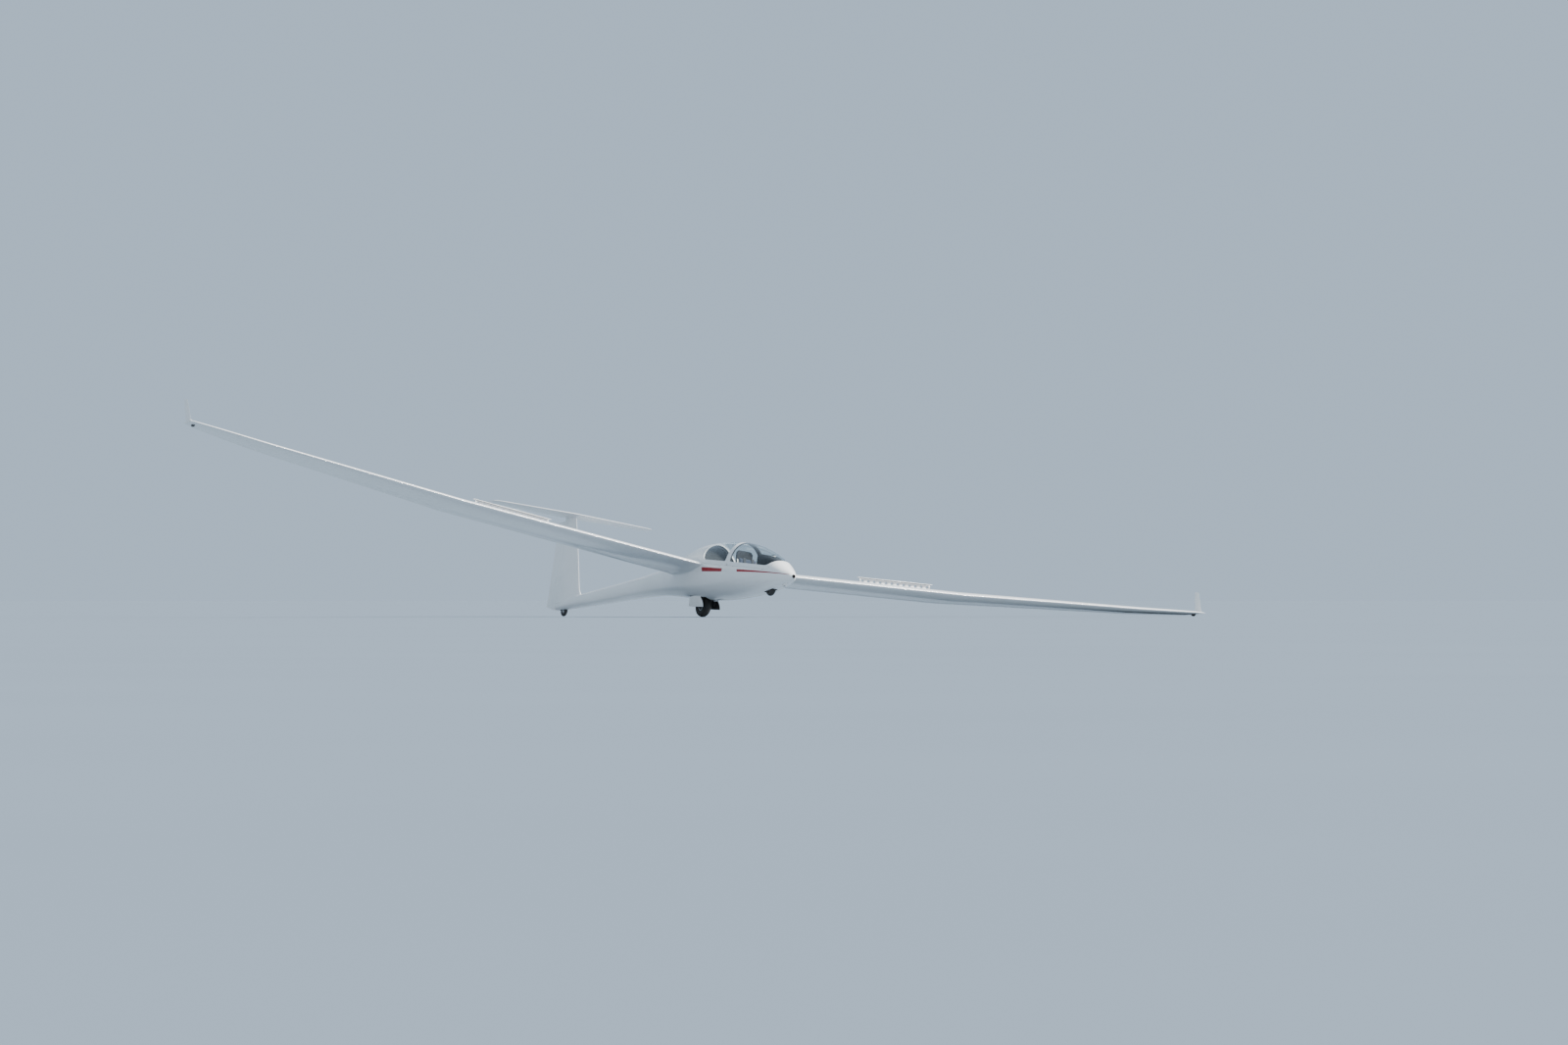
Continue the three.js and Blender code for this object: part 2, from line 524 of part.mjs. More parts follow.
// Tip skid: a rounded runner under the tip
const SKID = { y: 9860, station: 3064, length: 112, width: 30, depth: 32, root: 12 };
const skidTop = WING_LINES.evaluate(SKID.y)[1] - 6;
const skidRunner = loft([-1, -0.92, -0.7, -0.35, 0, 0.35, 0.7, 0.92, 1].map((share) => {
  const fall = SKID.depth * Math.sqrt(Math.max(0, 1 - share * share));
  const half = SKID.width / 2;
  const low = skidTop - SKID.root - fall;
  const along = -(SKID.station + (share * SKID.length) / 2);
  return [
    [along, SKID.y - half, skidTop], [along, SKID.y - half, low + 8], [along, SKID.y - half + 8, low],
    [along, SKID.y + half - 8, low], [along, SKID.y + half, low + 8], [along, SKID.y + half, skidTop],
  ];
}));
const skid = cutBy(skidRunner, wingTip, [0, 0, -1]);

for (const [side, place] of SIDES) {
  add("wing_" + side, place(wingPanel), WHITE_GELCOAT);
  add("wing_tip_" + side, place(wingTip), WHITE_GELCOAT);
  add("winglet_" + side, place(wingletFitted), WHITE_GELCOAT);
  add("aileron_" + side, place(aileron), WHITE_GELCOAT);
  add("airbrake_cap_" + side, place(brakeCap), WHITE_GELCOAT);
  add("airbrake_blade_" + side, place(brakeBlade), BRAKE_ALLOY);
  add("tip_skid_" + side, place(skid), DARK_TRIM);
}

// Main undercarriage: trailing arms from a cross tube in the well, a drag brace, the axle and two doors
const ARM = { inner: 84, outer: 98, pivot: [2850, 30], brace: [3215, 96] };
const armOutline = (() => {
  const [s0, z0] = ARM.pivot;
  const [s1, z1] = [MAIN_WHEEL.station, MAIN_WHEEL.z];
  const along = new THREE.Vector2(s1 - s0, z1 - z0).normalize();
  const across = new THREE.Vector2(-along.y, along.x);
  const at = (s, z, a, b) => [s + along.x * a + across.x * b, z + along.y * a + across.y * b];
  return [at(s0, z0, -24, -24), at(s1, z1, 20, -24), at(s1, z1, 30, -12), at(s1, z1, 30, 12),
    at(s1, z1, 20, 24), at(s0, z0, -24, 24)];
})();
const arms = [1, -1].map((side) => {
  const [y0, y1] = [side * ARM.inner, side * ARM.outer].sort((a, b) => a - b);
  const plate = sidePrism(armOutline, y0, y1);
  return joined(plate, bar([2990, (y0 + y1) / 2, -140], [ARM.brace[0], (y0 + y1) / 2, ARM.brace[1]], 11, 10));
});
const crossTube = bar([ARM.pivot[0], -MAIN_WELL.half + SEAM, ARM.pivot[1]],
  [ARM.pivot[0], MAIN_WELL.half - SEAM, ARM.pivot[1]], 22, 16);
const braceTube = bar([ARM.brace[0], -MAIN_WELL.half + SEAM, ARM.brace[1]],
  [ARM.brace[0], MAIN_WELL.half - SEAM, ARM.brace[1]], 14, 12);
const axleHole = bar([MAIN_WHEEL.station, -130, MAIN_WHEEL.z], [MAIN_WHEEL.station, 130, MAIN_WHEEL.z],
  AXLES.main + SEAM, 16);
add("main_gear_fork", joined(...arms, crossTube, braceTube).subtract(axleHole), GREY_STEEL);
add("main_axle", axle("main", MAIN_WHEEL, 112), WHEEL_METAL);

// A door hangs from the edge of the well. Its lower edge follows the keel, and its front edge is curved.
const DOOR = { thick: 9, y: 158, top: -6, drop: 132 };
const doorOutline = [
  [3272, -20], [3272, -284], [3180, -296], [2960, -318], [2768, -336], [2779, -290], [2800, -250],
  [2832, -212], [2876, -170], [2910, -20],
];
const doorSheet = sidePrism(doorOutline, DOOR.y, DOOR.y + DOOR.thick);
const door = cutBy(doorSheet, podSkin, [0, 0, -1]);
for (const [side, place] of SIDES) add("main_gear_door_" + side, place(door), WHITE_GELCOAT);

// Nose wheel box, closed off from the cockpit, and the nose and tail wheels' axles
const boxOutside = box([NOSE_WELL.stations[0] - NOSE_WELL.wall, NOSE_WELL.stations[1] + NOSE_WELL.wall],
  [-NOSE_WELL.half - NOSE_WELL.wall, NOSE_WELL.half + NOSE_WELL.wall], [-400, NOSE_WELL.roof + NOSE_WELL.wall]);
const noseBox = boxOutside.subtract(noseWell).intersect(fuselageBody(COCKPIT_STATIONS, HULL_WALL + SEAM));
add("nose_wheel_box", noseBox, SEAT_SHELL);
add("nose_axle", axle("nose", NOSE_WHEEL, NOSE_WELL.half - SEAM), WHEEL_METAL);
add("tail_axle", axle("tail", TAIL_WHEEL, TAIL_SLOT.half - SEAM), WHEEL_METAL);

// Tow hooks: a small housing under the nose and one ahead of the main wheel, each with a flat underside
function towHook(station, keel) {
  const body = box([station - 32, station + 32], [-17, 17], [keel - 12, keel + 40]);
  return cutBy(body.subtract(box([station - 18, station + 14], [-8, 8], [keel - 30, keel - 2])), podSkin, [0, 0, -1]);
}
add("nose_tow_hook", towHook(360, -140), GREY_STEEL);
add("belly_tow_hook", towHook(2660, -212), GREY_STEEL);

// Cockpit: seat shells, cushions, instrument panels, sticks and the front rudder pedals
function seat(prefix, station, floor) {
  const path = [ // station and height of the shell's upper face
    [station, floor + 62], [station + 60, floor + 34], [station + 290, floor + 6], [station + 362, floor + 30],
    [station + 420, floor + 110], [station + 560, floor + 420], [station + 592, floor + 520],
  ];
  const under = path.map(([s, z]) => [s + 7, z - 13]).reverse();
  add(prefix + "_seat_shell", sidePrism([...path, ...under], -212, 212), SEAT_SHELL);
  const raised = (from, to, thick) => {
    const top = path.slice(from, to).map(([s, z]) => [s - thick * 0.55, z + thick * 0.85]);
    const low = path.slice(from, to).map(([s, z]) => [s - 2, z + 3]).reverse();
    return [...top, ...low];
  };
  add(prefix + "_seat_cushion", sidePrism(raised(1, 4, 46), -190, 190), SEAT_CLOTH);
  add(prefix + "_back_cushion", sidePrism(raised(4, 7, 50), -180, 180), SEAT_CLOTH);
}
seat("front", 1120, -128);
seat("rear", 2040, -96);

// A panel pod's ring: half width, low and high, with rounded upper corners
function podRing(station, half, low, high) {
  const corner = 0.4 * half;
  const arc = (cy, from) => Array.from({ length: 4 }, (_, i) => {
    const turn = from + (i * Math.PI) / 6;
    return [-station, cy + corner * Math.cos(turn), high - corner + corner * Math.sin(turn)];
  });
  return [[-station, half, low], ...arc(half - corner, 0), ...arc(corner - half, Math.PI / 2), [-station, -half, low]];
}
const FRONT_PANEL = [[690, 92, 214, 330], [760, 140, 216, 372], [880, 176, 212, 410], [1030, 196, 192, 436]];
const pedestal = box([962, 1026], [-62, 62], [-180, 200]);
const panelPod = joined(loft(FRONT_PANEL.map((row) => podRing(...row))), pedestal);
add("front_instrument_pod", panelPod, DARK_TRIM);
add("rear_instrument_panel", loft([[1800, 150, 318, 560], [1826, 158, 312, 570]].map((row) => podRing(...row))), DARK_TRIM);
for (const [prefix, station, floor] of [["front", 1085, -186], ["rear", 1975, -180]]) {
  const stick = joined(bar([station, 0, floor], [station + 26, 0, floor + 210], 10, 10),
    bar([station + 24, 0, floor + 196], [station + 34, 0, floor + 300], 17, 10));
  add(prefix + "_stick", stick, DARK_TRIM);
}
const pedals = joined(bar([600, -150, -60], [600, 150, -60], 9, 10),
  ...[95, -95].map((y) => joined(
    box([596, 606], [y - 38, y + 38], [-64, 84]), bar([600, y, -80], [600, y, 60], 10, 8))));
add("front_rudder_pedals", pedals, GREY_STEEL);

// Parked attitude: the aircraft is turned until the main tyre, the tail tyre and the port tip skid
// all reach the same level, then set on the ground with the middle of its box over the origin.
const piece = (name) => aircraft.getObjectByName(name);
const SETTLING_ROUNDS = 12;
const lowest = (name) => new THREE.Box3().setFromObject(piece(name), true).min.z;
aircraft.rotation.order = "XYZ";
for (let round = 0; round < SETTLING_ROUNDS; round++) {
  aircraft.updateMatrixWorld(true);
  const [main, tail, tip] = ["main_tyre", "tail_tyre", "tip_skid_port"].map(lowest);
  aircraft.rotation.y -= (tail - main) / (TAIL_WHEEL.station - MAIN_WHEEL.station);
  aircraft.rotation.x -= (tip - main) / SKID.y;
}
aircraft.updateMatrixWorld(true);
const bounds = new THREE.Box3().setFromObject(aircraft, true);
aircraft.position.set(
  -(bounds.min.x + bounds.max.x) / 2, -(bounds.min.y + bounds.max.y) / 2, -bounds.min.z,
);

const parked = new THREE.Group();
parked.add(aircraft);
export default parked;
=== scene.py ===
import json
import math

import bmesh
import bpy
from mathutils import Matrix, Vector


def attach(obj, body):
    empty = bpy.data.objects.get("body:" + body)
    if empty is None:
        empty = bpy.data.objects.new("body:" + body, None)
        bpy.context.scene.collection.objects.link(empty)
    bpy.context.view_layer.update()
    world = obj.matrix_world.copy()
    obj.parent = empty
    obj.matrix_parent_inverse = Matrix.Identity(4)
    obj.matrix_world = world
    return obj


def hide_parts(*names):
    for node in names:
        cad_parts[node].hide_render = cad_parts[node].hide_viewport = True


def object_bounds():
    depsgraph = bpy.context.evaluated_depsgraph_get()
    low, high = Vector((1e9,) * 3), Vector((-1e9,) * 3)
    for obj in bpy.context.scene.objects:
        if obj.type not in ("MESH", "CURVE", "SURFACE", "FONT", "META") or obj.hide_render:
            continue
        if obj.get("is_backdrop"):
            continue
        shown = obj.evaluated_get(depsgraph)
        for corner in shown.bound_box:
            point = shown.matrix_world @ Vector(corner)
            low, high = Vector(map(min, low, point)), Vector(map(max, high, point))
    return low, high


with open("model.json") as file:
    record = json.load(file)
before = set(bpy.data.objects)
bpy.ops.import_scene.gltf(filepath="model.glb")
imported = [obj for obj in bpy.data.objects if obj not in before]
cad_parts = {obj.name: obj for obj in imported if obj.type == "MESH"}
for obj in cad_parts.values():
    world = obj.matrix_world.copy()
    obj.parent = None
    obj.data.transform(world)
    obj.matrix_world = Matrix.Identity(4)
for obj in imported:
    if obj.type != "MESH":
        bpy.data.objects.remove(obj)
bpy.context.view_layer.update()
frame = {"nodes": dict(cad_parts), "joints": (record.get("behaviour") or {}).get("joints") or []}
scene = bpy.context.scene

# Parked attitude and viewpoint. The sailplane leans on its port wing tip with its tail on the ground, so each
# piece is drawn in the aircraft's own axes, x forward from the datum, y to port and z up, and then turned.
# The camera stands on the floor off the starboard bow, far away with a long lens, as for the photograph.
JOINTS = {joint["name"]: joint for joint in frame["joints"]}
AHEAD = Vector(JOINTS["front_canopy_hinge"]["axis"])
PORT = Vector(JOINTS["main_wheel_spin"]["axis"])
TURN = Matrix((AHEAD, PORT, AHEAD.cross(PORT))).transposed()
MAIN_AXLE = Vector((-3.057, 0, -0.272))
DATUM = Vector(JOINTS["main_wheel_spin"]["pos_m"]) - TURN @ MAIN_AXLE
AIRCRAFT = Matrix.Translation(DATUM) @ TURN.to_4x4()

NOSE_TIP = Vector((-0.078, 0, -0.005))
VIEW_AZIMUTH = math.radians(60.2)
VIEW_DISTANCE = 128.7
EYE_HEIGHT = 0.3
PHOTO_WIDTH, PHOTO_HEIGHT = 1600, 1066
FOCAL_PIXELS = 7883
NOSE_PIXEL = (810, 588)

view_back = Vector((math.sin(VIEW_AZIMUTH), -math.cos(VIEW_AZIMUTH), 0))
nose = AIRCRAFT @ NOSE_TIP
eye = nose + view_back * VIEW_DISTANCE
eye.z = EYE_HEIGHT
camera = bpy.data.objects.new("camera", bpy.data.cameras.new("camera"))
scene.collection.objects.link(camera)
scene.camera = camera
camera.data.sensor_width = 36
camera.data.lens = FOCAL_PIXELS / PHOTO_WIDTH * camera.data.sensor_width
camera.data.clip_start, camera.data.clip_end = 1, 2000
camera.data.dof.use_dof = False
camera.location = eye
aim = (nose - eye).to_track_quat("-Z", "Y").to_matrix()
nose_right = (NOSE_PIXEL[0] - PHOTO_WIDTH / 2) / FOCAL_PIXELS
nose_down = (NOSE_PIXEL[1] - PHOTO_HEIGHT / 2) / FOCAL_PIXELS
off_nose = Matrix.Rotation(nose_right, 3, "Y") @ Matrix.Rotation(nose_down, 3, "X")
camera.rotation_euler = (aim @ off_nose).to_euler()


# Studio. A plain pale floor, large enough to reach the horizon of the low camera, under a pale even sky,
# with one big soft key light over the port wing and a broad fill from the camera's side.
class Socket:
    """An output of a material's nodes. Sums on it are written as on numbers, and add their Math nodes."""

    def __init__(self, finish, output):
        self.finish, self.output = finish, output

    def math(self, operation, *terms):
        return self.finish.node("ShaderNodeMath", {"operation": operation}, dict(enumerate(terms)))

    def __add__(self, other):
        return self.math("ADD", self, other)

    def __mul__(self, other):
        return self.math("MULTIPLY", self, other)

    def __gt__(self, other):
        return self.math("GREATER_THAN", self, other)

    __radd__ = __add__
    __rmul__ = __mul__


class Finish:
    """A material that is put together node by node."""

    def __init__(self, name):
        self.material = bpy.data.materials.new(name)
        self.material.use_nodes = True
        self.tree = self.material.node_tree
        self.tree.nodes.clear()

    def node(self, kind, settings=None, inputs=None, output=0):
        """Adds a node: its settings first, then the values or links of its sockets. Returns one output."""
        made = self.tree.nodes.new(kind)
        for key, value in (settings or {}).items():
            if key == "stops":
                stops = made.color_ramp.elements
                stops.remove(stops[1])
                stops[0].position, stops[0].color = value[0]
                for position, colour in value[1:]:
                    stops.new(position).color = colour
            else:
                setattr(made, key, value)
        for key, value in (inputs or {}).items():
            if isinstance(value, Socket):
                self.tree.links.new(value.output, made.inputs[key])
            else:
                made.inputs[key].default_value = value
        return Socket(self, made.outputs[output]) if made.outputs else None

    def place(self):
        """Where a point is in the aircraft's own axes, in metres."""
        back = AIRCRAFT.inverted()
        return self.node("ShaderNodeMapping", None, {
            "Vector": self.node("ShaderNodeTexCoord", output="Object"),
            "Location": back.translation, "Rotation": back.to_euler(),
        })

    def along(self, axis, place):
        return self.node("ShaderNodeSeparateXYZ", None, {0: place}, output=axis)

    def noise(self, scale, detail=3, roughness=0.5, stretch=(1, 1, 1)):
        place = self.place()
        if stretch != (1, 1, 1):
            place = self.node("ShaderNodeMapping", None, {"Vector": place, "Scale": stretch})
        return self.node("ShaderNodeTexNoise", None, {
            "Vector": place, "Scale": scale, "Detail": detail, "Roughness": roughness,
        })

    def wave(self, rate, axis, place):
        """A sine along one axis, for woven threads."""
        return self.node("ShaderNodeMath", {"operation": "SINE"}, {0: rate * self.along(axis, place)})

    def ramp(self, factor, *stops):
        spread = [(at, (*tone, 1)) for at, tone in stops]
        return self.node("ShaderNodeValToRGB", {"stops": spread}, {0: factor})

    def mix(self, share, first, second):
        colours = [c if isinstance(c, Socket) else (*c, 1) for c in (first, second)]
        return self.node("ShaderNodeMix", {"data_type": "RGBA"}, {0: share, 6: colours[0], 7: colours[1]}, 2)

    def bump(self, height, distance, strength=1.0):
        return self.node("ShaderNodeBump", None, {
            "Height": height, "Distance": distance, "Strength": strength,
        })

    def surface(self, colour, roughness, **others):
        """Ends the material in one Principled shader. Other sockets are named with _ for a space."""
        inputs = {"Base Color": colour, "Roughness": roughness}
        inputs.update({key.replace("_", " "): value for key, value in others.items()})
        return self.closed(self.node("ShaderNodeBsdfPrincipled", None, inputs))

    def closed(self, shader):
        """Ends the material in a shader."""
        self.node("ShaderNodeOutputMaterial", None, {"Surface": shader})
        return self.material


def mottled(name, patches, low, high, roughness, spread=0.0, grain=None, relief=None, **others):
    """A material whose tone drifts between two stops over patches of noise.

    Its roughness varies by spread over the noise grain. relief is the noise of its bumps, if not the grain,
    and their distance and strength.
    """
    finish = Finish(name)
    grain = grain or patches
    if spread:
        roughness = roughness + spread * finish.noise(*grain)
    if relief:
        *bumps, distance, strength = relief
        others["Normal"] = finish.bump(finish.noise(*(bumps or grain)), distance, strength)
    return finish.surface(finish.ramp(finish.noise(*patches), low, high), roughness, **others)


FLOOR_HALF, FLOOR_BELOW, FLOOR_CELLS = 1500, 0.001, 30
PALE_FLOOR = mottled("pale_floor", (0.35, 2), (0.3, (0.191, 0.238, 0.288)), (0.7, (0.196, 0.244, 0.295)),
                     0.9, Specular_IOR_Level=0.1)
bm = bmesh.new()
bmesh.ops.create_grid(bm, x_segments=FLOOR_CELLS, y_segments=FLOOR_CELLS, size=FLOOR_HALF)
bmesh.ops.translate(bm, verts=bm.verts, vec=(0, 0, -FLOOR_BELOW))
floor_mesh = bpy.data.meshes.new("floor")
bm.to_mesh(floor_mesh)
bm.free()
floor_mesh.materials.append(PALE_FLOOR)
floor = bpy.data.objects.new("floor", floor_mesh)
scene.collection.objects.link(floor)
floor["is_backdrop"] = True

world = bpy.data.worlds.new("studio")
scene.world = world
world.use_nodes = True
SKY = {"Color": (0.62, 0.80, 1.0, 1), "Strength": 0.78}
for key, value in SKY.items():
    world.node_tree.nodes["Background"].inputs[key].default_value = value

# Name, direction that it comes from, strength, angle across in degrees, tone
LIGHTS = [
    ("key", (0.62, 0.66, 0.62), 11.0, 16, (1.0, 0.975, 0.94)),
    ("fill", (1.0, -1.3, 0.45), 0.45, 40, (1.0, 0.97, 0.92)),
]
for name, place, strength, width, tone in LIGHTS:
    lamp = bpy.data.lights.new(name, "SUN")
    lamp.energy, lamp.angle, lamp.color = strength, math.radians(width), tone
    light = bpy.data.objects.new(name, lamp)
    light.rotation_euler = Vector(place).to_track_quat("Z", "Y").to_euler()
    scene.collection.objects.link(light)


# Fuselage pod. One moulded glass-fibre shell, white gelcoat outside and light grey paint inside, from the
# nose to the back of the wing roots. The cockpit opening and the two wheel wells are cut out of it, and the
# wing roots grow out of its sides. A dark red stripe tapers forward along each side.

# Station, keel, top, half width, height of the widest point
HULL = [
    (0.078, -0.035, 0.025, 0.031, -0.005),
    (0.098, -0.050, 0.042, 0.050, -0.003),
    (0.140, -0.066, 0.075, 0.080, 0.003),
    (0.200, -0.081, 0.119, 0.115, 0.012),
    (0.300, -0.101, 0.181, 0.170, 0.032),
    (0.520, -0.150, 0.319, 0.249, 0.074),
    (0.800, -0.192, 0.450, 0.307, 0.115),
    (1.150, -0.222, 0.580, 0.342, 0.152),
    (1.600, -0.235, 0.686, 0.358, 0.192),
    (2.100, -0.232, 0.744, 0.365, 0.222),
    (2.650, -0.204, 0.770, 0.362, 0.250),
    (3.100, -0.159, 0.750, 0.342, 0.268),
    (3.500, -0.105, 0.686, 0.302, 0.272),
    (3.900, -0.044, 0.580, 0.246, 0.262),
    (4.350, 0.008, 0.484, 0.200, 0.246),
    (4.900, 0.032, 0.428, 0.177, 0.230),
    (5.600, 0.038, 0.380, 0.157, 0.209),
    (6.600, 0.038, 0.324, 0.132, 0.181),
    (7.500, 0.039, 0.272, 0.108, 0.156),
    (8.100, 0.043, 0.244, 0.076, 0.144),
    (8.345, 0.054, 0.232, 0.050, 0.141),
]
ROUND_ABOVE, ROUND_BELOW = 2.05, 2.25
CORNER_SHARE = 0.45  # the most of a side that its corner's rounding takes
HULL_SIDES = 96
HULL_WALL = 0.016
POD_END = 4.0
SIDES = ((1, "port"), (-1, "starboard"))


def smooth_row(table, at):
    """The columns of a table at a place between its rows, on a smooth curve through them."""
    at = min(max(at, table[0][0]), table[-1][0])
    i = next(k for k in range(len(table) - 1) if at <= table[k + 1][0])
    before, a, b, after = table[max(i - 1, 0)], table[i], table[i + 1], table[min(i + 2, len(table) - 1)]
    span = b[0] - a[0]
    t = (at - a[0]) / span
    row = []
    for c in range(1, len(a)):
        leave = (b[c] - before[c]) / (b[0] - before[0]) * span
        arrive = (after[c] - a[c]) / (after[0] - a[0]) * span
        row.append(
            a[c] * (2 * t**3 - 3 * t**2 + 1) + b[c] * (3 * t**2 - 2 * t**3)
            + leave * (t**3 - 2 * t**2 + t) + arrive * (t**3 - t**2)
        )
    return row


def straight_row(table, at):
    """The columns of a table at a place between its rows, on straight lines between them."""
    at = min(max(at, table[0][0]), table[-1][0])
    i = next(k for k in range(len(table) - 1) if at <= table[k + 1][0])
    a, b = table[i], table[i + 1]
    t = (at - a[0]) / (b[0] - a[0])
    return [a[c] + (b[c] - a[c]) * t for c in range(1, len(a))]


def steps(start, end, count):
    """Numbers an equal step apart, both ends included."""
    return [start + (end - start) * i / count for i in range(count + 1)]


def hull_ring(station):
    """The hull's section, fuller in its corners than an ellipse."""
    keel, top, half, widest = smooth_row(HULL, station)
    points = []
    for i in range(HULL_SIDES):
        turn = 2 * math.pi * i / HULL_SIDES
        c, s = math.cos(turn), math.sin(turn)
        power = 2 / (ROUND_ABOVE if s > 0 else ROUND_BELOW)
        rise = top - widest if s > 0 else widest - keel
        points.append((
            -station,
            half * math.copysign(abs(c) ** power, c),
            widest + rise * math.copysign(abs(s) ** power, s),
        ))
    return points


def hull_height(station, y, below=False):
    """The height of the hull's skin at a station and a distance from the middle."""
    keel, top, half, widest = smooth_row(HULL, station)
    power = ROUND_BELOW if below else ROUND_ABOVE
    rise = keel - widest if below else top - widest
    return widest + rise * (1 - min(1, abs(y) / half) ** power) ** (1 / power)


def hull_side(station, z):
    """The half width of the hull at a station and a height."""
    keel, top, half, widest = smooth_row(HULL, station)
    power, rise = (ROUND_ABOVE, top - widest) if z > widest else (ROUND_BELOW, widest - keel)
    return half * max(0, 1 - (abs(z - widest) / rise) ** power) ** (1 / power)


def ring(bm, points):
    """One closed loop of edges through the given points."""
    verts = bmesh.ops.create_circle(bm, segments=len(points), radius=1)["verts"]
    for vert, point in zip(verts, points):
        vert.co = point
    return list({edge for vert in verts for edge in vert.link_edges})


def loft(bm, rings, ends=True):
    """A skin over rings of points, closed at both ends."""
    loops = [ring(bm, points) for points in rings]
    for near, far in zip(loops, loops[1:]):
        bmesh.ops.bridge_loops(bm, edges=near + far)
    if ends:
        for loop in (loops[0], loops[-1]):
            bmesh.ops.edgeloop_fill(bm, edges=loop)
    bmesh.ops.recalc_face_normals(bm, faces=bm.faces)
    return bm


def inside(outline, u, v):
    """True if a point is within a closed outline."""
    odd = False
    for (u0, v0), (u1, v1) in zip(outline, outline[1:] + outline[:1]):
        if (v0 > v) != (v1 > v) and u < (u1 - u0) * (v - v0) / (v1 - v0) + u0:
            odd = not odd
    return odd


def slice_along(bm, outline, axis=2, only=lambda centre: True, reach=0.06):
    """Cuts a skin along an outline of [station, height] in side view, or of [station, y] with axis 1."""
    across = Vector((0, 1, 0)) if axis == 2 else Vector((0, 0, 1))
    for (s0, v0), (s1, v1) in zip(outline, outline[1:] + outline[:1]):
        start, end = Vector((-s0, 0, 0)), Vector((-s1, 0, 0))
        start[axis], end[axis] = v0, v1
        run = end - start
        if run.length < 1e-6:
            continue
        low = [min(start[k], end[k]) - reach for k in (0, axis)]
        high = [max(start[k], end[k]) + reach for k in (0, axis)]
        faces = []
        for face in bm.faces:
            centre = face.calc_center_median()
            if low[0] < centre[0] < high[0] and low[1] < centre[axis] < high[1] and only(centre):
                faces.append(face)
        edges = list({edge for face in faces for edge in face.edges})
        verts = list({vert for face in faces for vert in face.verts})
        bmesh.ops.bisect_plane(bm, geom=faces + edges + verts, dist=1e-6, plane_co=start,
                               plane_no=run.cross(across).normalized())


def eased(before, corner, after, radius, count):
    """The points of a curve that takes the place of a corner."""
    corner = Vector(corner)
    a, b = Vector(before) - corner, Vector(after) - corner
    cut = min(radius, a.length * CORNER_SHARE, b.length * CORNER_SHARE)
    a, b = corner + a.normalized() * cut, corner + b.normalized() * cut
    return [a * (1 - t) ** 2 + corner * (2 * t * (1 - t)) + b * t**2 for t in steps(0, 1, count)]


def rounded(outline, radius, count=6):
    """An outline with its corners rounded off."""
    made = []
    for corner in zip(outline[-1:] + outline[:-1], outline, outline[1:] + outline[:1]):
        made += [tuple(point) for point in eased(*corner, radius, count)]
    return made


def new_object(name, bm, *materials):
    """An object for a mesh in the aircraft's own axes."""
    mesh = bpy.data.meshes.new(name)
    bm.to_mesh(mesh)
    bm.free()
    for material in materials:
        mesh.materials.append(material)
    made = bpy.data.objects.new(name, mesh)
    scene.collection.objects.link(made)
    return made


def painted(bm, material):
    """A mesh with one material on all its faces."""
    for face in bm.faces:
        face.material_index = material
    return bm


def taken_apart(obj):
    """The mesh of an object, to work on, in the object's place."""
    bm = bmesh.new()
    bm.from_mesh(obj.data)
    bpy.data.objects.remove(obj)
    return bm


def melted(bm, verts, passes=10):
    """Smooths the corner where two forms were joined."""
    for _ in range(passes):
        bmesh.ops.smooth_vert(bm, verts=verts, factor=0.4, use_axis_x=True, use_axis_y=True, use_axis_z=True)


def worked(obj, kind, **settings):
    """Gives an object one modifier, and makes what comes out of it the object's own mesh."""
    modifier = obj.modifiers.new(kind, kind)
    for key, value in settings.items():
        setattr(modifier, key, value)
    bpy.context.view_layer.update()
    mesh = bpy.data.meshes.new_from_object(obj.evaluated_get(bpy.context.evaluated_depsgraph_get()))
    obj.modifiers.clear()
    obj.data = mesh
    return obj


def hung(obj, body, slot, *replaced, crease=35):
    """Turns a piece to the parked attitude, smooths it up to its creases, and hangs it on its body."""
    obj.data.transform(AIRCRAFT)
    obj.data.shade_smooth()
    obj.data.set_sharp_from_angle(angle=math.radians(crease))
    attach(obj, body)
    if replaced:
        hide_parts(*replaced)
    return obj


def cut_by(obj, *tools, operation="DIFFERENCE"):
    """Takes the shapes of other meshes out of an object, or joins them to it."""
    for tool in tools:
        worked(obj, "BOOLEAN", operation=operation, solver="EXACT", object=tool)
        bpy.data.objects.remove(tool)
    return obj


def mid(face):
    """A face's middle as its station, y and height."""
    centre = face.calc_center_median()
    return -centre.x, centre.y, centre.z


def white_gelcoat():
    finish = Finish("white_gelcoat")
    tone = finish.ramp(finish.noise(1.7, 4, 0.6), (0.3, (0.80, 0.80, 0.785)), (0.7, (0.845, 0.845, 0.835)))
    streaks = finish.noise(6, 5, 0.65, stretch=(0.25, 2.2, 1))
    tone = finish.mix(0.12 * (streaks > 0.62), tone, (0.60, 0.585, 0.55))
    polish = 0.14 + 0.12 * finish.noise(9, 3)
    waves = finish.bump(finish.noise(2.4, 2), 0.0012, 0.25)
    return finish.surface(tone, polish, Coat_Weight=0.35, Coat_Roughness=0.06, Normal=waves)


WHITE = white_gelcoat()
RED = mottled("dark_red_paint", (5, 4, 0.6), (0.35, (0.290, 0.007, 0.014)), (0.7, (0.345, 0.010, 0.018)),
              0.24, 0.1, (12, 3), Specular_IOR_Level=0.3)
LINING = mottled("cockpit_lining", (14, 4), (0.3, (0.31, 0.32, 0.33)), (0.7, (0.37, 0.38, 0.39)),
                 0.62, relief=(420, 2, 0.0006, 0.4))
# Near black, partly real dark paint and partly painted shade: it lines the wheel wells, the tail wheel's
# slot, the doors' backs and the canopy frames' insides, where shade falls.
DARK_AND_SHADE = mottled("dark_paint_and_painted_shade", (30, 4), (0.3, (0.011, 0.012, 0.013)), (0.7, (0.021, 0.022, 0.024)),
               0.62, 0.2, (80, 3), (140, 3, 0.0004, 0.2), Specular_IOR_Level=0.3)

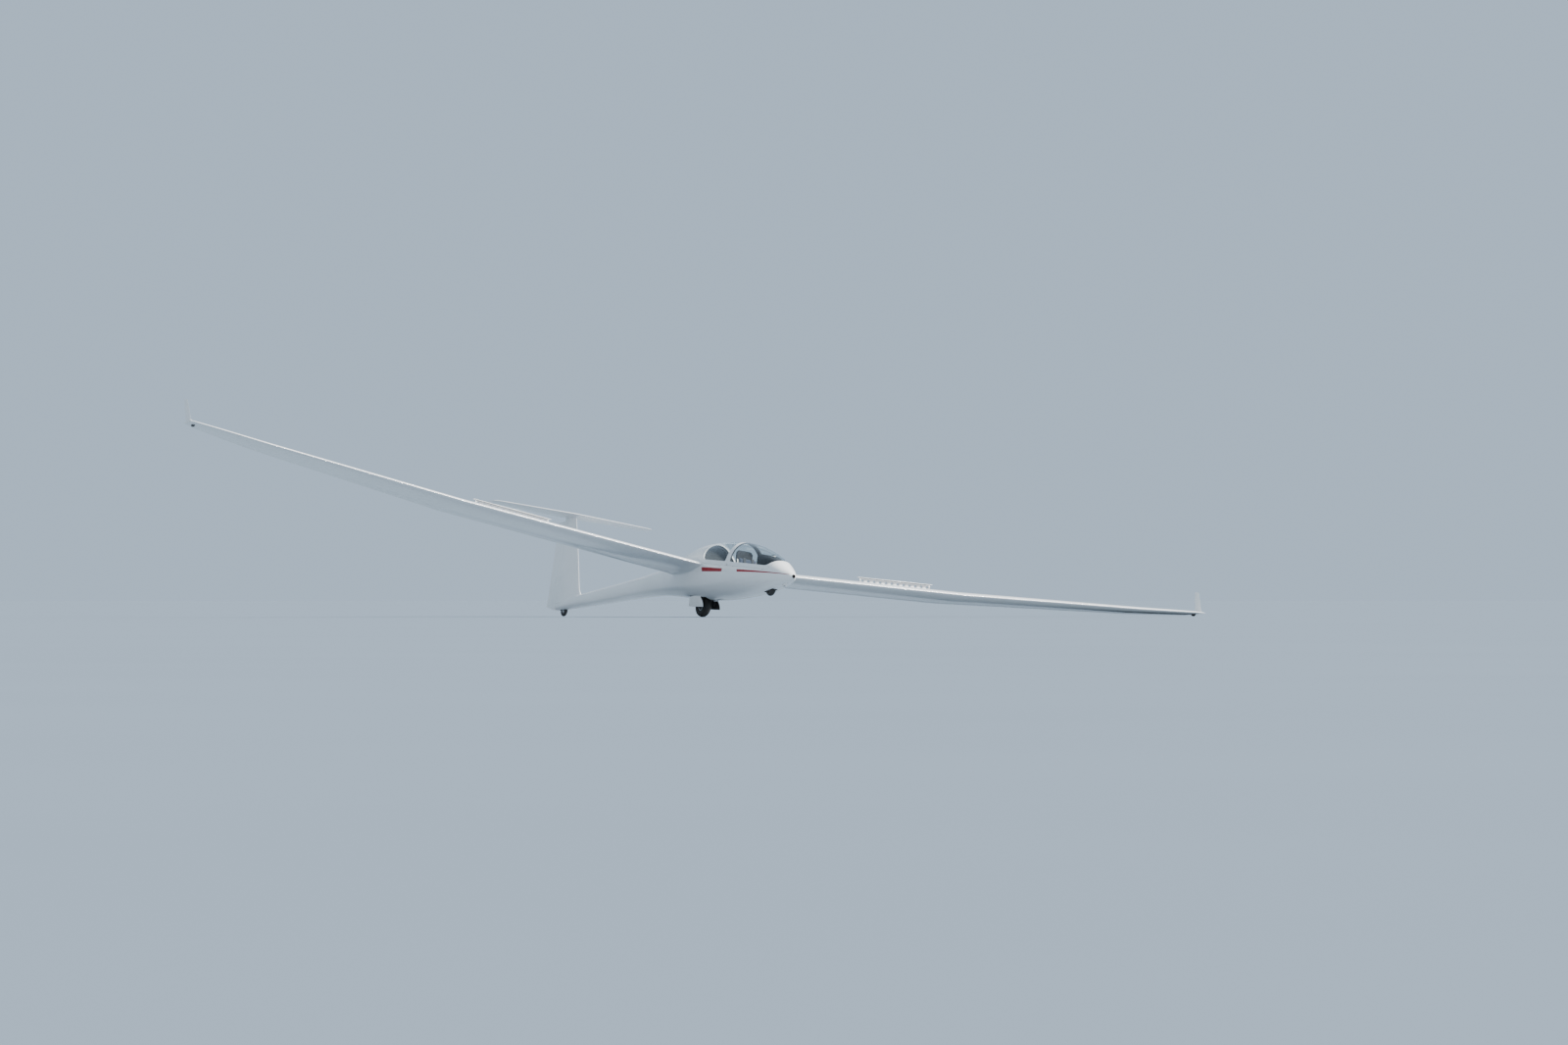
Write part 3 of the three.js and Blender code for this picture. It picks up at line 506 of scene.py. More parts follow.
# Wing root rib: leading edge station and height, chord, thickness ratio, incidence in degrees
ROOT_RIB = (2.612, 0.356, 1.090, 0.158, 3.5)
ROOT_Y = 0.42
ROOT_FROM, ROOT_TO, ROOT_LOW, ROOT_BLEND = 2.45, 3.95, 0.1, 0.034  # where the hull blends into the root
WING_CAMBER = 0.03
TRAILING_EDGE_HALF = 0.0015
# y, growth of chord, growth of thickness
ROOT_FAIRING = [(0.420, 1, 1), (0.385, 1.012, 1.05), (0.350, 1.04, 1.16), (0.310, 1.09, 1.35),
                (0.200, 1.10, 1.45)]


def half_thickness(x, ratio):
    """Half the thickness of a section of chord 1 at a share of its chord."""
    return ratio / 2 / 0.6913 * math.sqrt(x) * (1 - x) ** 1.5 * (1 + 3.37 * x)


def camber_line(x, camber):
    return 4 * camber * x * (1 - x)


def shares(start, end, count):
    """Shares of a chord, close together at both ends."""
    return [start + (end - start) * (1 - math.cos(math.pi * i / count)) / 2 for i in range(count + 1)]


def surface_point(x, side, chord, ratio, camber):
    """A section's point [distance behind the leading edge, height] over or under the share x of its chord."""
    half = max(half_thickness(x, ratio) * chord, TRAILING_EDGE_HALF if x > 0.5 else 0)
    return x * chord, camber_line(x, camber) * chord + side * half


def aerofoil(chord, ratio, camber=0.0, count=36):
    """A whole section, over the top first."""
    over = [surface_point(x, 1, chord, ratio, camber) for x in shares(1, 0, count)]
    return over + [surface_point(x, -1, chord, ratio, camber) for x in shares(0, 1, count)[1:]]


def fairing_ring(side, y, longer, thicker):
    """A section of the wing root's fairing, which grows towards the hull."""
    edge, height, chord, ratio, incidence = ROOT_RIB
    turn = math.radians(incidence)
    points = []
    for along, up in aerofoil(chord * longer, ratio * thicker / longer, WING_CAMBER):
        along -= chord * (longer - 1) * 0.45
        points.append((
            -(edge + along * math.cos(turn) - up * math.sin(turn)),
            side * y,
            height - (ROOT_Y - y) * 0.03 - along * math.sin(turn) + up * math.cos(turn),
        ))
    return points


SILL_STATION, SILL_HEIGHT, SILL_RISE = 0.574, 0.180, 0.129


def sill(station):
    """The height of the lower edge of the canopies' glass."""
    return SILL_HEIGHT + SILL_RISE * (station - SILL_STATION)


RAIL = 0.066
OVER = 0.9
COCKPIT_OPENING = [
    (0.559, sill(0.559) - RAIL - 0.002), (2.6015, sill(2.6015) - RAIL - 0.002),
    (2.692, 0.439), (2.754, 0.539),
    (2.784, 0.660), (2.792, OVER), (0.157, OVER), (0.3675, 0.2835), (0.423, 0.2435), (0.470, 0.2125),
]
MAIN_WELL = (2.745, 3.300, 0.152, 0.150)
NOSE_WELL = (0.655, 0.945, 0.055, 0.0)
INTAKE_RADIUS = 0.0273
INTAKE_DEPTH = 0.052
NOSE_FACE, INTAKE_AREA = 0.0781, 0.002  # what tells the nose's flat end and the intake's mouth apart
# Height at station 0, and rise for each metre aft
STRIPE_TOP, STRIPE_BOTTOM = (0.0125, 0.112), (0.0085, 0.0848)


def stripe_edge(line, *stations):
    return [(station, line[0] + line[1] * station) for station in stations]


STRIPE_PARTS = [
    stripe_edge(STRIPE_BOTTOM, 0.125, 1.406) + stripe_edge(STRIPE_TOP, 1.418, 0.125),
    stripe_edge(STRIPE_BOTTOM, 1.911, 2.590) + stripe_edge(STRIPE_TOP, 2.618, 1.894),
]


def well_cut(bm, well, lining):
    """Cuts a wheel well's mouth in the underside, and lines it up to its roof."""
    ahead, behind, half, roof = well
    mouth = [(ahead, -half), (behind, -half), (behind, half), (ahead, half)]
    slice_along(bm, mouth, axis=1, only=lambda centre: centre.z < roof)
    gone = [face for face in bm.faces if mid(face)[2] < roof and inside(mouth, *mid(face)[:2])]
    edges = {edge for face in gone for edge in face.edges}
    bmesh.ops.delete(bm, geom=gone, context="FACES")
    rim = [edge for edge in edges if edge.is_valid and edge.is_boundary]
    raised = bmesh.ops.extrude_edge_only(bm, edges=rim)["geom"]
    top = {item for item in raised if isinstance(item, bmesh.types.BMVert)}
    for vert in top:
        vert.co.z = roof
    ceiling = [item for item in raised if isinstance(item, bmesh.types.BMEdge) and top.issuperset(item.verts)]
    bmesh.ops.edgeloop_fill(bm, edges=ceiling)
    for face in {face for vert in top for face in vert.link_faces}:
        face.material_index = lining


ROOT_FLOOR, ROOT_ROOF, ROOF_LESS, ROOT_INBOARD = 0.12, (0.36, 0.52), 2.34, 0.06
THIN_FROM, THIN_REACH, THIN_NOSE, THIN_ROOT = 0.12, 0.2, 0.08, 0.06  # where the wall is less than whole


def at_root(station, y, z):
    """Whether a place is on a wing root or beside it, where the wall is thin and white on both sides."""
    roof = min(ROOT_ROOF[1], max(ROOT_ROOF[0], station - ROOF_LESS))
    outboard = abs(y) > smooth_row(HULL, station)[2] - ROOT_INBOARD
    return station > ROOT_FROM and outboard and ROOT_FLOOR < z < roof


# Stations close together at the nose, where the hull is rounder
NOSE_STATIONS = [0.078, 0.083, 0.090, 0.098, 0.108, 0.120, 0.134, 0.150, 0.168, 0.190, 0.215, 0.240]
# Materials of the skin, and then of the wall's inner side below each
# The wheel wells are lined near black, which is painted shade of their hollows.
POD_FINISHES = [WHITE, RED, DARK_AND_SHADE, WHITE, LINING, LINING, LINING, WHITE]
STRIPE, WELL, ROOT, INNER = 1, 2, 3, 4
bm = bmesh.new()
loft(bm, [hull_ring(station) for station in NOSE_STATIONS + steps(0.27, POD_END, 124)])
pod = new_object("pod_shell", bm)
for side in (1, -1):
    bm = bmesh.new()
    loft(bm, [fairing_ring(side, y, *smooth_row(ROOT_FAIRING[::-1], y)) for y in steps(0.2, ROOT_Y, 22)])
    cut_by(pod, new_object("root_fairing", bm), operation="UNION")

bm = taken_apart(pod)
joint = [vert for vert in bm.verts if ROOT_FROM < -vert.co.x < ROOT_TO and vert.co.z > ROOT_LOW
         and abs(abs(vert.co.y) - smooth_row(HULL, -vert.co.x)[2]) < ROOT_BLEND]
melted(bm, joint)

opening = rounded(COCKPIT_OPENING, 0.05)
slice_along(bm, opening, only=lambda centre: centre.z > 0.05)
gone = [face for face in bm.faces if inside(opening, mid(face)[0], mid(face)[2])]
bmesh.ops.delete(bm, geom=gone, context="FACES")
for part in STRIPE_PARTS:
    slice_along(bm, part, reach=0.02)
for face in bm.faces:
    station, y, z = mid(face)
    if any(inside(part, station, z) for part in STRIPE_PARTS) and abs(y) < ROOT_Y - 0.05:
        face.material_index = STRIPE
well_cut(bm, MAIN_WELL, WELL)
well_cut(bm, NOSE_WELL, WELL)
front = [face for face in bm.faces if mid(face)[0] < NOSE_FACE]
bmesh.ops.inset_region(bm, faces=front, thickness=HULL[0][3] - INTAKE_RADIUS, use_even_offset=True)
front = [face for face in bm.faces if mid(face)[0] < NOSE_FACE and face.calc_area() > INTAKE_AREA]
for face in bmesh.ops.extrude_discrete_faces(bm, faces=front)["faces"]:
    bmesh.ops.translate(bm, verts=face.verts, vec=(-INTAKE_DEPTH, 0, 0))
for face in bm.faces:
    if face.material_index == 0 and at_root(*mid(face)):
        face.material_index = ROOT
pod = new_object("pod_shell", bm, *POD_FINISHES)
wall = pod.vertex_groups.new(name="wall")
for vert in pod.data.vertices:
    station, y = -vert.co.x, abs(vert.co.y)
    ahead = min(1, max(THIN_NOSE, (station - THIN_FROM) / THIN_REACH))
    outboard = THIN_ROOT if at_root(station, y, vert.co.z) else 1
    wall.add([vert.index], min(ahead, outboard), "REPLACE")
worked(pod, "SOLIDIFY", thickness=HULL_WALL, offset=-1, use_even_offset=False, vertex_group="wall",
       material_offset=INNER, material_offset_rim=INNER)
hung(pod, "airframe", "gelcoat", "fuselage_pod")


# Tail cone and fin. The hull's moulding runs aft in one piece with the fin, whose foot is blended into it.
# A slot in the underside holds the tail wheel, and a hollow down the fin's back edge lets the rudder turn.
TAIL_SLOT = (7.925, 8.155, 0.036, 0.148)
SEAM = 0.0003
# Height, leading edge station, trailing edge station, thickness ratio
FIN = [
    (0.170, 7.420, 8.712, 0.125),
    (0.290, 7.490, 8.690, 0.118),
    (0.370, 7.552, 8.682, 0.112),
    (0.520, 7.598, 8.668, 0.110),
    (1.030, 7.738, 8.622, 0.112),
    (1.400, 7.852, 8.590, 0.115),
    (1.745, 7.958, 8.562, 0.120),
]
HINGE_GAP = 0.006
TAILPLANE_Z = 1.738
# y, leading edge station, trailing edge station, thickness ratio
TAILPLANE = [(0, 7.868, 8.490, 0.12), (1.400, 7.975, 8.365, 0.12), (1.545, 8.000, 8.345, 0.11),
             (1.590, 8.060, 8.320, 0.09)]
ELEVATOR_HINGE, ELEVATOR_HALF = 8.275, 1.480


RUDDER_AXIS = (0.060, 8.372), (1.745, 8.290)  # height and station at its foot and at its head


def hinge_station(z):
    (low, start), (high, end) = RUDDER_AXIS
    return start + (end - start) * (z - low) / (high - low)


def round_nose(along, middle, radius, count):
    """A half circle about a hinge, from over it to under it."""
    turns = steps(math.pi / 2, math.pi * 3 / 2, count)
    return [(along + radius * math.cos(turn), middle + radius * math.sin(turn)) for turn in turns]


def flap_section(chord, ratio, camber, hinge, count=12):
    """A control surface's section behind its hinge: a round nose, and the aerofoil's tail."""
    radius, middle = half_thickness(hinge, ratio) * chord, camber_line(hinge, camber) * chord
    upper = [surface_point(x, 1, chord, ratio, camber) for x in steps(1, hinge, count)]
    lower = [surface_point(x, -1, chord, ratio, camber) for x in steps(hinge, 1, count)]
    return upper + round_nose(hinge * chord, middle, radius, 12)[1:-1] + lower


def cove_section(chord, ratio, camber, hinge, beyond=0.08):
    """The room that a control surface turns in, open to the rear."""
    radius, middle = half_thickness(hinge, ratio) * chord + HINGE_GAP, camber_line(hinge, camber) * chord
    points = round_nose(hinge * chord, middle, radius, 16)
    return points + [(chord + beyond, middle - radius), (chord + beyond, middle + radius)]


def fin_ring(z, section, foot_slope=0.0):
    """A section of the fin or the rudder. With a slope, it rises behind the hinge."""
    edge, tail, ratio = smooth_row(FIN, z)
    chord = tail - edge
    hinge = (hinge_station(z) - edge) / chord
    return [(-(edge + along), side, z + foot_slope * max(0, edge + along - hinge_station(z)))
            for along, side in section(chord, ratio, 0, hinge)]


def tailplane_ring(y, section, **more):
    """A section of the tailplane or the elevator."""
    edge, tail, ratio = straight_row(TAILPLANE, abs(y))
    chord = tail - edge
    return [(-(edge + along), y, TAILPLANE_Z + up)
            for along, up in section(chord, ratio, 0, (ELEVATOR_HINGE - edge) / chord, **more)]


def whole_section(chord, ratio, camber, hinge):
    return aerofoil(chord, ratio, camber, 30)


def lofted(name, rings, *materials):
    """An object from a skin over rings of points."""
    bm = bmesh.new()
    loft(bm, rings)
    return new_object(name, bm, *materials)


def elevator_cove(count):
    """The room that the elevator turns in."""
    reach = ELEVATOR_HALF + HINGE_GAP
    rings = [tailplane_ring(y, cove_section, beyond=0.06) for y in steps(-reach, reach, count)]
    return lofted("elevator_cove", rings)


tail_cone = lofted("tail_cone_and_fin", [hull_ring(s) for s in steps(POD_END + SEAM, 8.345, 124)])
fin_heights = steps(0.17, 0.52, 14) + steps(0.55, 1.735, 24)
cut_by(tail_cone, lofted("fin", [fin_ring(z, whole_section) for z in fin_heights]), operation="UNION")
bm = taken_apart(tail_cone)
FOOT_FROM, FOOT_TO, FOOT_LOW, FOOT_BLEND = 7.3, 8.33, 0.2, 0.03  # where the cone blends into the fin
foot = [vert for vert in bm.verts if FOOT_FROM < -vert.co.x < FOOT_TO and vert.co.z > FOOT_LOW
        and abs(vert.co.z - hull_height(-vert.co.x, vert.co.y)) < FOOT_BLEND]
melted(bm, foot)
# The tail wheel's slot is lined near black, which is painted shade of its hollow.
well_cut(bm, TAIL_SLOT, 1)
tail_cone = new_object("tail_cone_and_fin", bm, WHITE, DARK_AND_SHADE)
cut_by(
    tail_cone,
    lofted("rudder_cove", [fin_ring(z, cove_section) for z in [-0.1] + steps(0.02, 1.8, 24)]),
    elevator_cove(2),
)
hung(tail_cone, "airframe", "gelcoat", "tail_boom", "fin")


# Rudder. A white glass-fibre surface behind the fin, lofted from its sections, that turns on a hinge line in
# the fin's hollow. Its foot rises towards the trailing edge, to clear the ground.
RUDDER_LOW, FOOT_TOP, RUDDER_HIGH, FOOT_SLOPE = 0.064, 0.290, 1.645, 0.25
foot, above = fin_ring(RUDDER_LOW, flap_section, FOOT_SLOPE), fin_ring(FOOT_TOP, flap_section)
rings = [[Vector(a).lerp(Vector(b), t) for a, b in zip(foot, above)] for t in steps(0, 1, 6)]
rings += [fin_ring(z, flap_section) for z in steps(FOOT_TOP, RUDDER_HIGH, 24)[1:]]
rudder = lofted("rudder_surface", rings, WHITE)
hung(rudder, "rudder", "gelcoat", "rudder")


# Tailplane. It lies across the top of the fin, with a hollow in its back edge for the elevator.
spans = steps(0, 1.4, 20)[:-1] + [1.4, 1.45, 1.5, 1.545, 1.56, 1.575, 1.59]
spans = [-y for y in spans[:0:-1]] + spans
tailplane = lofted("tailplane_surface", [tailplane_ring(y, whole_section) for y in spans], WHITE)
cut_by(tailplane, elevator_cove(20))
hung(tailplane, "airframe", "gelcoat", "tailplane")
elevator = lofted("elevator_surface", [
    tailplane_ring(y, flap_section) for y in steps(-ELEVATOR_HALF, ELEVATOR_HALF, 40)
], WHITE)
hung(elevator, "elevator", "gelcoat", "elevator")


# Wings. Glass-fibre panels of one clean moulding each, with the aileron hinged in a hollow of the back edge
# and a slot in the top for the airbrake. The tip curves up into the winglet, in one piece with it.

# y, leading edge station and height, chord, thickness ratio, incidence in degrees
WING = [
    (ROOT_Y, *ROOT_RIB),
    (4.900, 2.650, 0.672, 0.990, 0.155, 3.9),
    (8.600, 2.760, 1.033, 0.665, 0.145, 3.0),
    (9.300, 2.800, 1.113, 0.530, 0.145, 3.0),
    (9.750, 2.836, 1.164, 0.425, 0.138, 2.5),
    (9.930, 2.858, 1.185, 0.345, 0.125, 2.0),
    (9.990, 2.890, 1.191, 0.275, 0.090, 1.5),
]
PANEL_END, SPAN_HALF = 8.6, 9.99
BEND = (9.91, 2.92, 1.18, 1.235)  # y, station, low and high of the bend into the winglet
AILERON_FROM, AILERON_TO, AILERON_HINGE = 5.240, 8.530, 0.79
AILERON_LEAN = (WING[2][2] - WING[1][2]) / (WING[2][0] - WING[1][0])
BRAKE_FROM, BRAKE_TO, BRAKE_SHARE = 3.035, 4.530, 0.53
CAP_WIDTH, CAP_THICK, BLADE_THICK, BLADE_HIGH = 0.046, 0.006, 0.012, 0.120
BRAKE_INSET, BRAKE_TRAVEL, BRAKE_CLEAR = 0.036, 0.120, 0.006
BLADE_FROM, BLADE_TO = BRAKE_FROM + BRAKE_INSET, BRAKE_TO - BRAKE_INSET
HOLE_COUNT, HOLE_RADIUS, HOLE_HEIGHT, HOLE_INSET = 12, 0.025, 0.062, BRAKE_INSET + 0.060
BRAKE_TILT = math.atan2(WING[1][2] - WING[0][2], WING[1][0] - WING[0][0])


def wing_ring(y, side=1, section=None, lean=0.0):
    """A section of a wing or of its aileron, leant over to stand square to the wing."""
    edge, height, chord, ratio, incidence = straight_row(WING, min(y, SPAN_HALF))
    turn = math.radians(incidence)
    if section:
        points = section(chord, ratio, WING_CAMBER, AILERON_HINGE)
    else:
        points = aerofoil(chord, ratio, WING_CAMBER)
    return [(
        -(edge + along * math.cos(turn) - up * math.sin(turn)),
        side * (y - lean * up),
        height - along * math.sin(turn) + up * math.cos(turn),
    ) for along, up in points]


def block(place, size, material=0):
    """A block about a place."""
    bm = bmesh.new()
    bmesh.ops.create_cube(bm, size=1, matrix=place @ Matrix.Diagonal((*size, 1)))
    bmesh.ops.recalc_face_normals(bm, faces=bm.faces)
    return painted(bm, material)


def brake_frame(side):
    """A frame on the inner wing panel's skin: y along the airbrake's slot and z out of the wing."""
    y = (BRAKE_FROM + BRAKE_TO) / 2
    edge, height, chord, ratio, incidence = straight_row(WING, y)
    back = BRAKE_SHARE * chord
    drop = back * math.sin(math.radians(incidence))
    up = surface_point(BRAKE_SHARE, 1, chord, ratio, WING_CAMBER)[1] - drop
    skin = Matrix.Translation((-(edge + back), y, height + up))
    return (Matrix.Diagonal((1, side, 1, 1)) @ skin @ Matrix.Rotation(BRAKE_TILT, 4, "X")
            @ Matrix.Translation((0, -y, 0)))


def brake_block(name, side, y0, y1, width, low, high, *materials):
    """A block square to the inner wing panel, by its span, chordwise width and heights over the skin."""
    place = brake_frame(side) @ Matrix.Translation((0, (y0 + y1) / 2, (low + high) / 2))
    return new_object(name, block(place, (width, y1 - y0, high - low)), *materials)


def brake_holes(side):
    """Round bars through an airbrake's blade, where its lightening holes are."""
    bm = bmesh.new()
    sideways = Matrix.Rotation(math.pi / 2, 4, "Y")
    for y in steps(BRAKE_FROM + HOLE_INSET, BRAKE_TO - HOLE_INSET, HOLE_COUNT - 1):
        place = brake_frame(side) @ Matrix.Translation((0, y, HOLE_HEIGHT)) @ sideways
        bmesh.ops.create_cone(bm, cap_ends=True, segments=32, radius1=HOLE_RADIUS, radius2=HOLE_RADIUS,
                              depth=0.06, matrix=place)
    bmesh.ops.recalc_face_normals(bm, faces=bm.faces)
    return new_object("holes", bm)


# Rise over the tip's leading edge, y, leading edge station, chord, thickness ratio
WINGLET = [
    (0.000, 9.936, 2.940, 0.224, 0.22),
    (0.024, 9.948, 2.958, 0.208, 0.15),
    (0.060, 9.954, 2.980, 0.194, 0.12),
    (0.110, 9.959, 3.003, 0.180, 0.10),
    (0.300, 9.970, 3.092, 0.143, 0.10),
    (0.392, 9.976, 3.138, 0.122, 0.10),
    (0.402, 9.977, 3.154, 0.102, 0.06),
]


def winglet_ring(side, rise):
    """A level section of a winglet."""
    y, edge, chord, ratio = smooth_row(WINGLET, rise)
    return [(-(edge + along), side * (y + across), WING[5][2] + rise)
            for along, across in aerofoil(chord, ratio, 0, 20)]


for side, name in SIDES:
    spans = steps(ROOT_Y + SEAM, WING[1][0], 30) + steps(WING[1][0], PANEL_END - SEAM / 2, 26)[1:]
    wing = lofted(f"wing_panel_{name}", [wing_ring(y, side) for y in spans], WHITE, LINING)
    spans = steps(AILERON_FROM - HINGE_GAP, AILERON_TO + HINGE_GAP, 22)
    cove = lofted("aileron_cove", [wing_ring(y, side, cove_section, AILERON_LEAN) for y in spans])
    slots = [
        brake_block("slot", side, start - BRAKE_CLEAR, end + BRAKE_CLEAR, width + 2 * BRAKE_CLEAR,
                    -depth - BRAKE_CLEAR, 0.04)
        for start, end, width, depth in (
            (BRAKE_FROM, BRAKE_TO, CAP_WIDTH, CAP_THICK),
            (BLADE_FROM, BLADE_TO, BLADE_THICK, CAP_THICK + BLADE_HIGH),
        )
    ]
    cut_by(wing, cove, *slots)
    hung(wing, "airframe", "gelcoat", f"wing_{name}")
    aileron = lofted(f"aileron_surface_{name}", [
        wing_ring(y, side, flap_section, AILERON_LEAN) for y in steps(AILERON_FROM, AILERON_TO, 24)
    ], WHITE)
    hung(aileron, f"aileron_{name}", "gelcoat", f"aileron_{name}")

    spans = steps(PANEL_END + SEAM / 2, 9.3, 8) + steps(9.3, 9.75, 8)[1:] + steps(9.75, SPAN_HALF, 12)[1:]
    tip = lofted(f"wing_end_{name}", [wing_ring(y, side) for y in spans])
    rises = steps(0, 0.11, 10) + steps(0.13, 0.402, 16)
    cut_by(tip, lofted("winglet", [winglet_ring(side, rise) for rise in rises]), operation="UNION")
    bm = taken_apart(tip)
    corner = [vert for vert in bm.verts if abs(vert.co.y) > BEND[0] and -vert.co.x > BEND[1]
              and BEND[2] < vert.co.z < BEND[3]]
    melted(bm, corner, 8)
    hung(new_object(f"wing_end_{name}", bm, WHITE), "airframe", "gelcoat",
         f"wing_tip_{name}", f"winglet_{name}")


# Airbrakes. Each is a plate that slides up out of the wing on two levers: an anodised blade with a row of
# lightening holes, and a white cap strip along its top that closes the slot when the brake is in.
ANODISED = mottled("grey_anodised_sheet", (60, 3, 0.6, (8, 0.3, 8)),
                   (0.3, (0.33, 0.345, 0.36)), (0.7, (0.42, 0.435, 0.45)),
                   0.34, 0.16, relief=(0.0003, 0.5), Metallic=0.8)


def bevelled(obj, width, segments=2, angle=40):
    """Rounds the edges of an object that are sharper than an angle."""
    return worked(obj, "BEVEL", width=width, segments=segments, profile=0.5, limit_method="ANGLE",
                  angle_limit=math.radians(angle), material=-1)


for side, name in SIDES:
    cap = brake_block(f"brake_cap_{name}", side, BRAKE_FROM, BRAKE_TO, CAP_WIDTH,
                      BRAKE_TRAVEL - CAP_THICK, BRAKE_TRAVEL, WHITE)
    hung(bevelled(cap, 0.0015), f"airbrake_{name}", "gelcoat", f"airbrake_cap_{name}")
    blade = brake_block(f"brake_blade_{name}", side, BLADE_FROM, BLADE_TO, BLADE_THICK,
                        BRAKE_TRAVEL - CAP_THICK - BLADE_HIGH, BRAKE_TRAVEL - CAP_THICK - SEAM, ANODISED)
    cut_by(blade, brake_holes(side))
    hung(bevelled(blade, 0.001), f"airbrake_{name}", "brake_alloy", f"airbrake_blade_{name}")


# Canopies. Two blown acrylic windows, each bonded into a white glass-fibre frame that hinges up to starboard.
# The frames' inner faces and the front frame's cut edges are near black, partly dark paint and partly painted
# shade, and their shapes continue the hull's.
FRAME_THICK, GLASS_THICK = 0.024, 0.005
SKIN_STEP, SKIN_LOW = 0.02, 0.06
CANOPY_SPLIT, CANOPY_GAP = 1.760, 0.003
FRONT_GLASS = [
    (0.600, sill(0.600)), (1.655, sill(1.655)), (1.682, sill(1.682) + 0.012), (1.690, sill(1.690) + 0.050),
    (1.700, 0.600), (1.712, OVER), (0.200, OVER), (0.400, 0.330), (0.455, 0.290), (0.505, 0.257),
]
FRONT_FRAME = [
    (0.560, sill(0.560) - RAIL), (CANOPY_SPLIT - CANOPY_GAP / 2, sill(CANOPY_SPLIT) - RAIL),
    (CANOPY_SPLIT - CANOPY_GAP / 2, OVER), (0.160, OVER), (0.369, 0.285), (0.424, 0.245), (0.471, 0.214),
]
REAR_GLASS = [
    (1.845, sill(1.845)), (2.560, sill(2.560)), (2.612, sill(2.612) + 0.014), (2.655, 0.490), (2.690, 0.560),
    (2.712, 0.640), (2.722, OVER), (1.806, OVER), (1.812, 0.600), (1.826, sill(1.826) + 0.040),
]
REAR_FRAME = [
    (CANOPY_SPLIT + CANOPY_GAP / 2, sill(CANOPY_SPLIT) - RAIL), (2.600, sill(2.600) - RAIL), (2.690, 0.440),
    (2.752, 0.540), (2.782, 0.660), (2.790, OVER), (CANOPY_SPLIT + CANOPY_GAP / 2, OVER),
]


def clear_acrylic():
    finish = Finish("clear_acrylic")
    gloss = finish.node("ShaderNodeBsdfGlossy", None, {"Color": (0.95, 0.97, 1.0, 1), "Roughness": 0.02})
    clear = finish.node("ShaderNodeBsdfTransparent", None, {"Color": (0.93, 0.955, 0.96, 1)})
    facing = finish.node("ShaderNodeLayerWeight", None, {"Blend": 0.5}, 1)
    film = 0.012 + 0.9 * facing.math("POWER", facing, 5) + 0.012 * finish.noise(2, 3)
    return finish.closed(finish.node("ShaderNodeMixShader", None, {0: film, 1: clear, 2: gloss}))


ACRYLIC = clear_acrylic()


def hull_panel(name, outline, start, end, hole=None, *materials):
    """The part of the hull's skin inside an outline in side view, less a hole."""
    bm = bmesh.new()
    stations = steps(start, end, int((end - start) / SKIN_STEP))
    loft(bm, [hull_ring(station) for station in stations], ends=False)
    low = [face for face in bm.faces if mid(face)[2] < SKIN_LOW]
    bmesh.ops.delete(bm, geom=low, context="FACES")
    for edge_line in [outline] + ([hole] if hole else []):
        slice_along(bm, edge_line, reach=0.03)
    gone = []
    for face in bm.faces:
        station, _, z = mid(face)
        if not inside(outline, station, z) or (hole and inside(hole, station, z)):
            gone.append(face)
    bmesh.ops.delete(bm, geom=gone, context="FACES")
    return new_object(name, bm, *materials)


for place, outline, hole, start, end, rim in (
    ("front", FRONT_FRAME, FRONT_GLASS, 0.30, 1.80, 1), ("rear", REAR_FRAME, REAR_GLASS, 1.72, 2.84, 0),
):
    outline, hole = rounded(outline, 0.045), rounded(hole, 0.06)
    canopy = hull_panel(f"{place}_canopy_surround", outline, start, end, hole, WHITE, DARK_AND_SHADE)
    worked(canopy, "SOLIDIFY", thickness=FRAME_THICK, offset=-1, material_offset=1, material_offset_rim=rim)
    hung(canopy, f"{place}_canopy", "gelcoat", f"{place}_canopy_frame")
    window = hull_panel(f"{place}_canopy_window", hole, start, end, None, ACRYLIC)
    worked(window, "SOLIDIFY", thickness=GLASS_THICK, offset=-1)
    hung(window, f"{place}_canopy", "canopy_acrylic", f"{place}_canopy_glass")


# Wheels. Each is a ribbed black tyre on a cast rim whose disc is held by a ring of bolts, and turns on a
# steel axle.

# Station and height of the axle, radius and width of the tyre, radius of the rim, radius of the axle
WHEELS = {
    "main": (3.057, -0.272, 0.190, 0.145, 0.082, 0.0125),
    "nose": (0.800, -0.149, 0.130, 0.084, 0.052, 0.009),
    "tail": (8.040, 0.032, 0.100, 0.056, 0.042, 0.007),
}
TYRE_TURNS = 96
TYRE_WEAR = 0.0019  # keeps the round tread off the floor
# As shares of half the width, the width, the tyre's depth and the depth
LAND_REACH, GROOVE_HALF, GROOVE_DEPTH, SHOULDER = 0.62, 0.022, 0.035, 0.36
HUB_PLAY = 0.0006
RUBBER = mottled("ribbed_rubber", (26, 5, 0.65),
                 (0.3, (0.016, 0.016, 0.017)), (0.75, (0.040, 0.038, 0.035)), 0.66, 0.2,
                 relief=(300, 4, 0.0005, 0.5))
CAST = mottled("cast_rim", (40, 4), (0.3, (0.50, 0.51, 0.52)), (0.7, (0.63, 0.64, 0.65)),
               0.30, 0.2, (90, 4), (500, 3, 0.0003, 0.4), Metallic=0.9)


